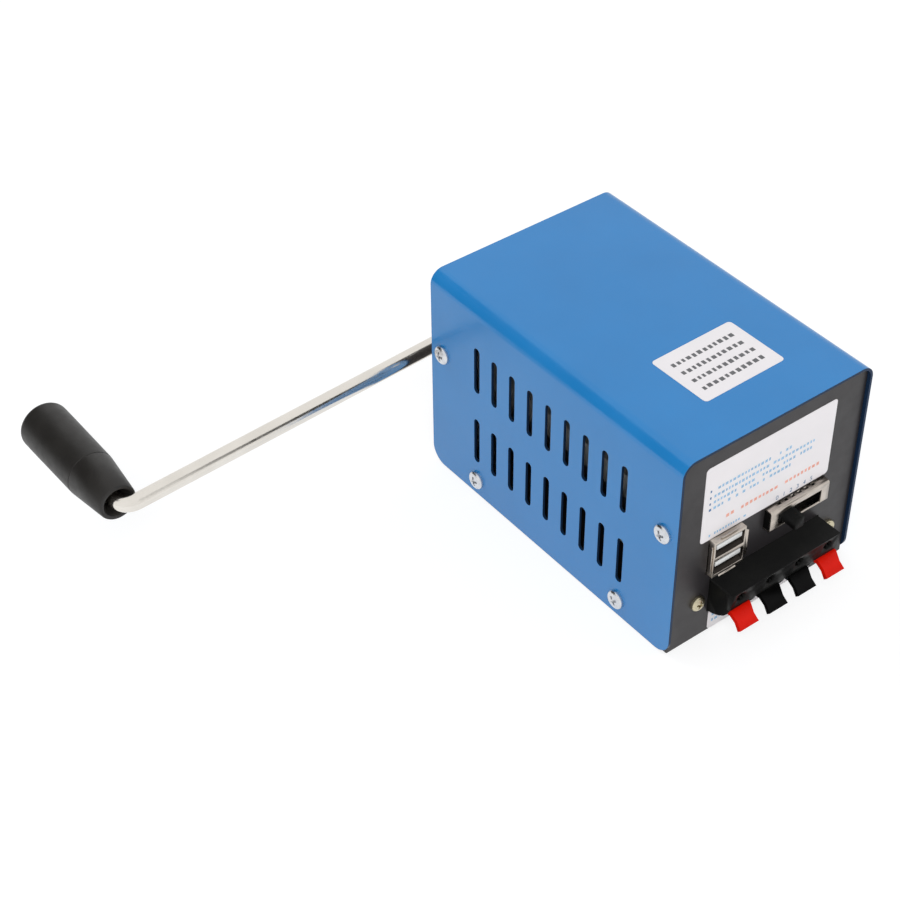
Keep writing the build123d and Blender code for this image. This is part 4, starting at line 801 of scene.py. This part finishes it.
def screw_outline(radius, height, shank):
    """A pan-head screw as stations from the tip of its shank to the crown of its head."""
    outline = [(0, -shank), (TIP_RADIUS, -shank), (SHANK_RADIUS, TIP_LENGTH - shank), (SHANK_RADIUS, 0)]
    outline += [(radius, 0), (radius, height * DOME_START)]
    for out, rise in arc((0, 0), 1, 0, 90, DOME_STEPS)[1:]:
        across = radius * (1 - DOME_INSET + DOME_INSET * out)
        outline.append((across, height * (DOME_START + DOME_RISE * rise)))
    return outline + [(radius * out, height * rise) for out, rise in CROWN]


def cross_head(radius, height, shank):
    """A bmesh of one pan-head screw on the XY plane, with a tapered cross sunk into its head."""
    head = bmesh.new()
    spin(head, screw_outline(radius, height, shank), Matrix.Identity(4))
    cross = bmesh.new()
    reach, wide = radius * CROSS_REACH, radius * CROSS_WIDTH
    top, bottom = height * CROSS_TOP, height - height * CROSS_DEPTH
    for quarter in (0, 1):
        turn = Matrix.Rotation(quarter * math.pi / 2, 4, "Z")
        upper = [(-reach, -wide, top), (reach, -wide, top), (reach, wide, top), (-reach, wide, top)]
        lower = [(x * WING_TAPER[0], y * WING_TAPER[1], bottom) for x, y, _ in upper]
        wing = [cross.verts.new(turn @ mm(*point)) for point in upper + lower]
        for corners in WING_FACES:
            cross.faces.new([wing[corner] for corner in corners])
    return carved(head, cross)


def set_screws(name, node, slot, radius, height, shank, places):
    """One piece with a screw at each (centre, direction, turn) in place of a node."""
    one = cross_head(radius, height, shank)
    one_mesh = bpy.data.meshes.new("one")
    one.to_mesh(one_mesh)
    one.free()
    group = bmesh.new()
    for centre, direction, turn in places:
        facing = Vector(direction).to_track_quat("Z", "Y").to_matrix().to_4x4()
        place = Matrix.Translation(mm(*centre)) @ facing @ Matrix.Rotation(math.radians(turn), 4, "Z")
        before = len(group.verts)
        group.from_mesh(one_mesh)
        group.verts.ensure_lookup_table()
        for vert in group.verts[before:]:
            vert.co = place @ vert.co
    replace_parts(make_piece(name, group, "case", slot, sharp=30), node)


# %% [markdown]
# Four screws on each side hold the cover, two on the front hold the push terminals, and four
# at the rear hold the gear frame. No two were tightened to the same angle, so each gets a
# turn of its own from the dice.

# %% Screws
HEAD_RADIUS = 3.5
HEAD_HEIGHT = 1.9
COVER_SHANK = 6.0
SCREW_Y = low_high("cover_screws", 1)[1] - HEAD_RADIUS
SCREW_Z = 51.8
FOOT_Y = 38.0
FOOT_Z = 7.0
side_screws = [
    ((side * COVER_X, y, z), (side, 0, 0), dice.uniform(0, 90))
    for side in (-1, 1)
    for y, z in ((-SCREW_Y, SCREW_Z), (SCREW_Y, SCREW_Z), (-FOOT_Y, FOOT_Z), (FOOT_Y, FOOT_Z))
]
set_screws(
    "cover_screw_heads", "cover_screws", "bright_screw", HEAD_RADIUS, HEAD_HEIGHT, COVER_SHANK, side_screws
)

TERMINAL_SHANK = 6.1
FRONT_Y, REAR_Y = low_high("chassis", 1)
pair_low, pair_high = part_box("terminal_screws")
pair_z = (pair_low.z + pair_high.z) / 2 / MM
pair_radius = (pair_high.z - pair_low.z) / 2 / MM
pair_height = FRONT_Y - pair_low.y / MM
pair = [
    ((x, FRONT_Y, pair_z), (0, -1, 0), dice.uniform(0, 90))
    for x in (pair_low.x / MM + pair_radius, pair_high.x / MM - pair_radius)
]
set_screws(
    "terminal_screw_heads", "terminal_screws", "yellow_screw", pair_radius, pair_height, TERMINAL_SHANK, pair
)

REAR_X = 34.0
REAR_LOW = 6.5
REAR_HIGH = 62.5
REAR_RADIUS = 2.7
REAR_SHANK = 7.5
rear_four = [
    ((x, REAR_Y, z), (0, 1, 0), dice.uniform(0, 90))
    for x in (-REAR_X, REAR_X)
    for z in (REAR_LOW, REAR_HIGH)
]
rear_slot = node_slot["gearbox_screws"]
set_screws(
    "rear_screw_heads", "gearbox_screws", rear_slot, REAR_RADIUS, HEAD_HEIGHT, REAR_SHANK, rear_four
)

# %% [markdown]
# ## Crank rod
# The rod is one length of round bar with two bends, nickel plated and polished. Its
# highlight runs its whole length, so it needs a truly round section: a ring of points is
# carried along the bent line and joined ring by ring. A curve with a round profile would
# look the same, but would have to be turned into a mesh in the end.

# %% Bent bar


def bent_line(points, radius, steps=24):
    """A polyline whose inner corners are replaced by arcs of that radius."""
    line = [points[0]]
    for before, corner, after in zip(points, points[1:], points[2:]):
        into = (corner - before).normalized()
        out = (after - corner).normalized()
        turn = into.angle(out)
        start = corner - into * radius * math.tan(turn / 2)
        inward = (out - into * out.dot(into)).normalized()
        centre = start + inward * radius
        for step in range(steps + 1):
            angle = turn * step / steps
            line.append(centre - inward * radius * math.cos(angle) + into * radius * math.sin(angle))
    return line + [points[-1]]


def round_bar(line, radius, sides=48):
    """A bmesh of a round bar with flat ends, along a line of points in millimetres."""
    bar = bmesh.new()
    rings = []
    side = Vector((0, 0, 1))
    for index, point in enumerate(line):
        before = line[max(index - 1, 0)]
        after = line[min(index + 1, len(line) - 1)]
        along = (after - before).normalized()
        side = (side - along * side.dot(along)).normalized()
        across = along.cross(side)
        ring = [point + radius * x * side + radius * y * across for x, y in circle(sides)]
        rings.append([bar.verts.new(spot * MM) for spot in ring])
    join_rings(bar, rings, sides)
    bar.faces.new(rings[0])
    bar.faces.new(rings[-1])
    return bar


# %% [markdown]
# The rod leaves the hub, bends once to cross over to the grip, and bends again to run
# through it. How far along it first bends is a value of its own. Its ends and its lines
# through hub and grip come from the solids.

# %% Crank rod
ROD_RADIUS = 3.0
BEND_RADIUS = 5.5
FIRST_BEND = 15.5
rod_start, rod_end = low_high("crank_rod", 1)
bend_y = rod_start + FIRST_BEND
grip_middle = middle("grip_sleeve")
hub_middle = middle("crank_shaft")
rod_line = [
    Vector((0, rod_start, hub_middle.z)),
    Vector((0, bend_y, hub_middle.z)),
    Vector((grip_middle.x, bend_y, grip_middle.z)),
    Vector((grip_middle.x, rod_end, grip_middle.z)),
]
rod = round_bar(bent_line(rod_line, BEND_RADIUS), ROD_RADIUS)
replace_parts(make_piece("polished_rod", rod, "crank", "rod_plate"), "crank_rod")

# %% [markdown]
# ## Hub and bush
# Behind the rear panel the rod sits in a turned hub. It is spun from its outline, so that
# it looks as round as it is, and a hole for its grub screw is drilled down to the rod.

# %% Hub
HUB_RADIUS = 6.5
HUB_FRONT = 64.23
HUB_REAR = 70.6
HUB_EASE = 0.3
HUB_CHAMFER = 0.8
JOURNAL_RADIUS = 5.0
TAIL_RADIUS = 3.0
TAIL_END = 47.93
SEAT_RADIUS = 3.1
SEAT_END = 60.6
SEAT_EASE = 0.2
GRUB_RADIUS = 1.55
DRILL_START = SEAT_RADIUS - 0.5
DRILL_END = HUB_RADIUS + 1
ALONG_Y = Matrix.Rotation(-math.pi / 2, 4, "X")
crank_place = Matrix.Translation(mm(0, 0, hub_middle.z)) @ ALONG_Y
tail_front = low_high("crank_shaft", 1)[0]
shaft_outline = [(0, tail_front), (TAIL_RADIUS, tail_front), (TAIL_RADIUS, TAIL_END)]
shaft_outline += [(JOURNAL_RADIUS, TAIL_END), (JOURNAL_RADIUS, HUB_FRONT)]
shaft_outline += [(HUB_RADIUS - HUB_EASE, HUB_FRONT), (HUB_RADIUS, HUB_FRONT + HUB_EASE)]
shaft_outline += [(HUB_RADIUS, HUB_REAR - HUB_CHAMFER), (HUB_RADIUS - HUB_CHAMFER, HUB_REAR)]
shaft_outline += [(SEAT_RADIUS + SEAT_EASE, HUB_REAR), (SEAT_RADIUS, HUB_REAR - SEAT_EASE)]
shaft_outline += [(SEAT_RADIUS, SEAT_END), (0, SEAT_END)]
shaft = bmesh.new()
spin(shaft, shaft_outline, crank_place)
drill = bmesh.new()
drill_outline = [(0, DRILL_START), (GRUB_RADIUS, DRILL_START)]
drill_outline += [(GRUB_RADIUS, DRILL_END), (0, DRILL_END)]
drill_place = Matrix.Translation(mm(0, (HUB_FRONT + HUB_REAR) / 2, hub_middle.z))
spin(drill, drill_outline, drill_place, segments=24)
hub = make_piece("turned_hub", carved(shaft, drill), "crank", node_slot["crank_shaft"], sharp=30)
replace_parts(hub, "crank_shaft")

# %% [markdown]
# The hub's journal runs in a flanged brass bush that is pressed into the rear panel. Its
# outline ends where it began, and the doubled ring of points there is merged, so that the
# bush is one closed skin around its bore.

# %% Bush
BUSH_RADIUS = 7.0
FLANGE_RADIUS = 9.0
BUSH_FRONT = 58.93
BUSH_REAR = 63.93
BUSH_BORE = 5.08
FLANGE_EASE = 0.25
BORE_EASE = 0.4
WELD = 0.002
bush_outline = [(BUSH_BORE, BUSH_FRONT), (BUSH_RADIUS, BUSH_FRONT), (BUSH_RADIUS, REAR_Y)]
bush_outline += [(FLANGE_RADIUS, REAR_Y), (FLANGE_RADIUS, BUSH_REAR - FLANGE_EASE)]
bush_outline += [(FLANGE_RADIUS - FLANGE_EASE, BUSH_REAR), (BUSH_BORE + BORE_EASE, BUSH_REAR)]
bush_outline += [(BUSH_BORE, BUSH_REAR - BORE_EASE), (BUSH_BORE, BUSH_FRONT)]
bush = bmesh.new()
spin(bush, bush_outline, crank_place)
bmesh.ops.remove_doubles(bush, verts=bush.verts, dist=WELD * MM)
bush_piece = make_piece("turned_bush", bush, "case", node_slot["crank_rear_bush"], sharp=30)
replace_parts(bush_piece, "crank_rear_bush")

# %% [markdown]
# ## Grip
# The handle is a moulded sleeve that spins on the rod. It widens to a shoulder where the
# two halves of the mould met, and its far end is rounded over and closed with a plug. It is
# spun from one outline, with the faint mould line as a real groove.

# %% Grip
MOUTH_Y, END_Y = low_high("grip_sleeve", 1)
GRIP_RADIUS = (low_high("grip_sleeve", 2)[1] - low_high("grip_sleeve", 2)[0]) / 2
LENGTH = END_Y - MOUTH_Y
SHOULDER = 18.0
GRIP_BORE = 3.06
END_ROUND = 2.5
grip_place = Matrix.Translation(mm(grip_middle.x, MOUTH_Y, grip_middle.z)) @ ALONG_Y
grip_outline = [(GRIP_BORE, 8.0), (GRIP_BORE, 5.0), (5.2, 0.5), (5.45, 0.12), (5.9, 0.0), (6.3, 0.0)]
grip_outline += [(6.72, 0.12), (7.0, 0.6), (8.96, SHOULDER - 0.25), (8.86, SHOULDER - 0.08)]
grip_outline += [(8.86, SHOULDER + 0.06), (9.0, SHOULDER + 0.2), (GRIP_RADIUS, LENGTH - 9.0)]
grip_outline += arc((GRIP_RADIUS - END_ROUND, LENGTH - END_ROUND), END_ROUND, 0, 90, 8)
grip_outline += [(6.45, LENGTH), (6.4, LENGTH - 0.3), (6.4, LENGTH - 2.0)]
sleeve = bmesh.new()
spin(sleeve, grip_outline, grip_place, segments=96)
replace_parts(make_piece("moulded_grip", sleeve, "grip", "grip_plastic", sharp=40), "grip_sleeve")

PLUG_RADIUS = 6.3
PLUG_DEPTH = 6.5
plug_outline = [(0, LENGTH - 0.25), (4.0, LENGTH - 0.3), (5.6, LENGTH - 0.45), (6.15, LENGTH - 0.75)]
plug_outline += [(PLUG_RADIUS, LENGTH - 1.2), (PLUG_RADIUS, LENGTH - PLUG_DEPTH), (0, LENGTH - PLUG_DEPTH)]
plug = bmesh.new()
spin(plug, plug_outline, grip_place)
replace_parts(make_piece("grip_end_plug", plug, "grip", "grip_plastic", sharp=30), "grip_plug")

# %% [markdown]
# ## Moulded and stamped parts
# The terminal block, its levers, the switch and the sockets start from their solids. Every
# sharp corner gets a small real radius, which is what catches light: a hair on sheet metal,
# a little more on mouldings. A bevel modifier would do the same, but some pieces get walls
# or a new width in the same go.

# %% Softened solids
BODIES = frame["record"]["behaviour"]["bodies"]
SHARP = 30


def eased(node, name, width, steps=2, half_width=None, extra=None):
    """A copy of a solid with a small radius on every sharp corner, shown in its place."""
    mesh_bm = bmesh.new()
    mesh_bm.from_mesh(frame["nodes"][node].data)
    bmesh.ops.remove_doubles(mesh_bm, verts=mesh_bm.verts, dist=WELD * MM)
    if half_width:
        across = middle(node).x * MM
        for vert in mesh_bm.verts:
            vert.co.x = max(across - half_width * MM, min(across + half_width * MM, vert.co.x))
    sharp = [
        edge
        for edge in mesh_bm.edges
        if len(edge.link_faces) == 2 and edge.calc_face_angle(0) > math.radians(SHARP)
    ]
    bmesh.ops.bevel(
        mesh_bm, geom=sharp, offset=width * MM, segments=steps, affect="EDGES", clamp_overlap=True
    )
    if extra:
        extra(mesh_bm)
    body = next(body for body, nodes in BODIES.items() if node in nodes)
    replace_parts(make_piece(name, mesh_bm, body, node_slot[node], sharp=40), node)


# %% [markdown]
# The push terminals are four levers in one block. The block's solid is open at both ends, so
# a thin wall in the shape of its side closes each, and the levers are made narrow enough to
# swing between those walls. The wall's curved front is a row of points along the curve.

# %% Terminal block and levers
BLOCK_SIDE = [(-56.9, 10.2), (-56.9, 24.8), (-73.1, 24.8), (-72.35, 17.4), (-71.5, 15.35)]
BLOCK_SIDE += [(-70.1, 13.6), (-67.85, 12.05), (-65.25, 10.9), (-62.7, 10.2)]
BLOCK_ENDS = (-23.28, 25.43)
END_WALL = 0.45
LEVER_HALF_WIDTH = 4.3


def end_walls(mesh_bm):
    """Thin walls that close the block beside its outer two levers."""
    for x in BLOCK_ENDS:
        prism(mesh_bm, [(x, y, z) for y, z in BLOCK_SIDE], (END_WALL, 0, 0))


eased("terminal_housing", "terminal_block", width=0.3, extra=end_walls)
for lever in ("lever_red_left", "lever_black_left", "lever_black_right", "lever_red_right"):
    eased(lever, lever.replace("lever", "push"), width=0.25, half_width=LEVER_HALF_WIDTH)

# %% [markdown]
# The switch is a knob in a bent metal frame. Beside it two sockets share one shell, each
# with a tongue inside. The tongues are brought a little nearer the mouth, where the eye
# expects them.

# %% Switch and sockets
TONGUE_FRONT = -60.0
TONGUE_REACH = 0.8


def longer(mesh_bm):
    """Bring the tongues' front ends a little nearer the mouth."""
    for vert in mesh_bm.verts:
        if vert.co.y < TONGUE_FRONT * MM:
            vert.co.y -= TONGUE_REACH * MM


eased("switch_knob", "slide_knob", width=0.2)
eased("switch_frame", "slide_frame", width=0.08, steps=1)
eased("usb_shell", "socket_shell", width=0.08, steps=1)
eased("usb_tongues", "socket_tongues", width=0.1, steps=1, extra=longer)

# %% [markdown]
# ## Labels and print
# The labels are stickers with round corners. An image of a label could be laid on a flat
# face, but a thin real sheet keeps its edge and its shadow. The one on top sits a little
# askew.

# %% Round-cornered labels
STICKER_THICK = 0.12
STICKER_CORNER = 1.4
STICKER_STEPS = 6
UPRIGHT = Matrix.Rotation(math.pi / 2, 4, "X")


def sticker(name, node, wide, tall, place):
    """A thin round-cornered label, drawn on its own plane and set in place by a matrix."""
    outline = []
    for quarter, (u, v) in enumerate(((1, 1), (-1, 1), (-1, -1), (1, -1))):
        centre = (u * (wide / 2 - STICKER_CORNER), v * (tall / 2 - STICKER_CORNER))
        outline += arc(centre, STICKER_CORNER, quarter * 90, quarter * 90 + 90, STICKER_STEPS)
    made = bmesh.new()
    prism(made, [(u, v, 0) for u, v in outline], (0, 0, STICKER_THICK))
    bmesh.ops.transform(made, matrix=place, verts=made.verts)
    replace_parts(make_piece(name, made, "case", "label", sharp=30), node)


def panel_sticker(name, node):
    """A label on the front panel, as wide and tall as its solid."""
    low, high = (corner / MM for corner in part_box(node))
    place = Matrix.Translation(mm((low.x + high.x) / 2, high.y, (low.z + high.z) / 2)) @ UPRIGHT
    sticker(name, node, high.x - low.x, high.z - low.z, place)


panel_sticker("front_sticker", "front_label")

TOP_TURN = 0.6
TOP_WIDE = 35.0
TOP_DEEP = 25.8
TOP_SHIFT = 0.4
top_middle = middle("top_label")
top_spot = Matrix.Translation(mm(top_middle.x, top_middle.y + TOP_SHIFT, COVER_TOP))
top_place = top_spot @ Matrix.Rotation(math.radians(TOP_TURN), 4, "Z")
sticker("top_sticker", "top_label", TOP_WIDE, TOP_DEEP, top_place)

# %% [markdown]
# The labels carry rows of pale print. Here the print is plain: rows of small blocks for
# lines of text, and plain numbers above the switch. It is real geometry a hair above the
# label, so it stays crisp from any distance, and its inks are finishes like the others.
# Each block's width, gap and ragged ends are shares of its row's height.

# %% Inks and marks
INK_LIFT = 0.02
INKS = {
    "blue ink": (0.25, 0.45, 0.64),
    "deep blue ink": (0.04, 0.13, 0.28),
    "red ink": (0.80, 0.34, 0.25),
    "black ink": (0.10, 0.10, 0.105),
}
PALER = 1.35
MARK_WIDTH = (0.5, 0.95)
MARK_FOOT = (0, 0.12)
MARK_HEAD = (0.85, 1.0)
MARK_GAP = 0.45


def ink(name, colour):
    """A printing ink: the label's gloss with a strong, slightly uneven colour."""
    paler = tuple(min(1, channel * PALER + 0.02) for channel in colour)
    return finish(name, colour, paler, shine=(0.32, 0.45), blotch=1.2, grain=0.3, bump=0.004)


inks = {name: ink(name, colour) for name, colour in INKS.items()}


def printed(name, page, colour):
    """A page of flat marks as a piece in one ink."""
    piece = make_piece(name, page, "case", "label")
    piece.data.materials[0] = inks[colour]


def marks(name, rows, colour, place, tall, fill=0.9):
    """Rows of small blocks: (start, height, end) in millimetres on a plane."""
    page = bmesh.new()
    for start, height, end in rows:
        x = start
        while x < end:
            wide = tall * dice.uniform(*MARK_WIDTH)
            if dice.random() < fill:
                low = height + tall * dice.uniform(*MARK_FOOT)
                high = height + tall * dice.uniform(*MARK_HEAD)
                corners = [(x, low), (x + wide, low), (x + wide, high), (x, high)]
                page.faces.new([page.verts.new(place @ mm(u, v, 0)) for u, v in corners])
            x += wide + tall * MARK_GAP
    printed(name, page, colour)


def numbers(name, words, colour, place, tall):
    """Plain numbers from (text, x, z), as flat meshes on a plane."""
    page = bmesh.new()
    for text, x, z in words:
        curve = bpy.data.curves.new("number", "FONT")
        curve.body = text
        curve.size = tall * MM
        curve.align_x = "CENTER"
        holder = bpy.data.objects.new("number", curve)
        scene.collection.objects.link(holder)
        bpy.context.view_layer.update()
        ready = holder.evaluated_get(bpy.context.evaluated_depsgraph_get())
        before = len(page.verts)
        page.from_mesh(ready.to_mesh())
        ready.to_mesh_clear()
        page.verts.ensure_lookup_table()
        for vert in page.verts[before:]:
            vert.co = place @ (vert.co + mm(x, z, 0))
        bpy.data.objects.remove(holder)
    printed(name, page, colour)


# %% [markdown]
# The front label has four rows of blue, each with a darker dot before it, a red row under
# them, a short blue row and the numbers of the switch. The lower label and the top one have
# plain rows only.

# %% Print
SCALE_COUNT = 6
SCALE_START = 4.0
SCALE_PITCH = 3.1
SCALE_HEIGHT = 44.6
DOT_START = 1.9
DOT_END = 1.0
ink_y = low_high("front_label", 1)[1] - STICKER_THICK - INK_LIFT
on_front = Matrix.Translation(mm(0, ink_y, 0)) @ UPRIGHT
blue_rows = [(-25.5, 64.8, 8.0), (-25.5, 62.0, 18.0), (-25.5, 59.4, 18.0), (-25.5, 56.9, 8.0)]
dots = [(start - DOT_START, height, start - DOT_END) for start, height, _ in blue_rows]
red_rows = [(-19.2, 50.0, -16.5), (-12.7, 50.0, 2.9), (6.8, 50.0, 22.8)]
scale = [(str(step), SCALE_START + step * SCALE_PITCH, SCALE_HEIGHT) for step in range(SCALE_COUNT)]
marks("blue_print", blue_rows, "blue ink", on_front, tall=1.3)
marks("line_dots", dots, "deep blue ink", on_front, tall=1.1, fill=1.0)
marks("red_print", red_rows, "red ink", on_front, tall=1.5, fill=1.0)
marks("small_blue_print", [(-26.3, 45.3, -10.9)], "blue ink", on_front, tall=1.1)
numbers("scale_numbers", scale, "deep blue ink", on_front, tall=2.6)

panel_sticker("lower_sticker", "lower_label")
lower_rows = [(-21.0, 6.2, 23.0), (-21.0, 3.6, 20.0)]
marks("lower_print", lower_rows, "blue ink", on_front, tall=1.4)

on_top = top_place @ Matrix.Translation(mm(0, 0, STICKER_THICK + INK_LIFT))
top_rows = [(-13.6, height, 12.5) for height in (6.0, 1.2, -3.6, -8.4)]
marks("top_print", top_rows, "black ink", on_top, tall=2.0, fill=1.0)
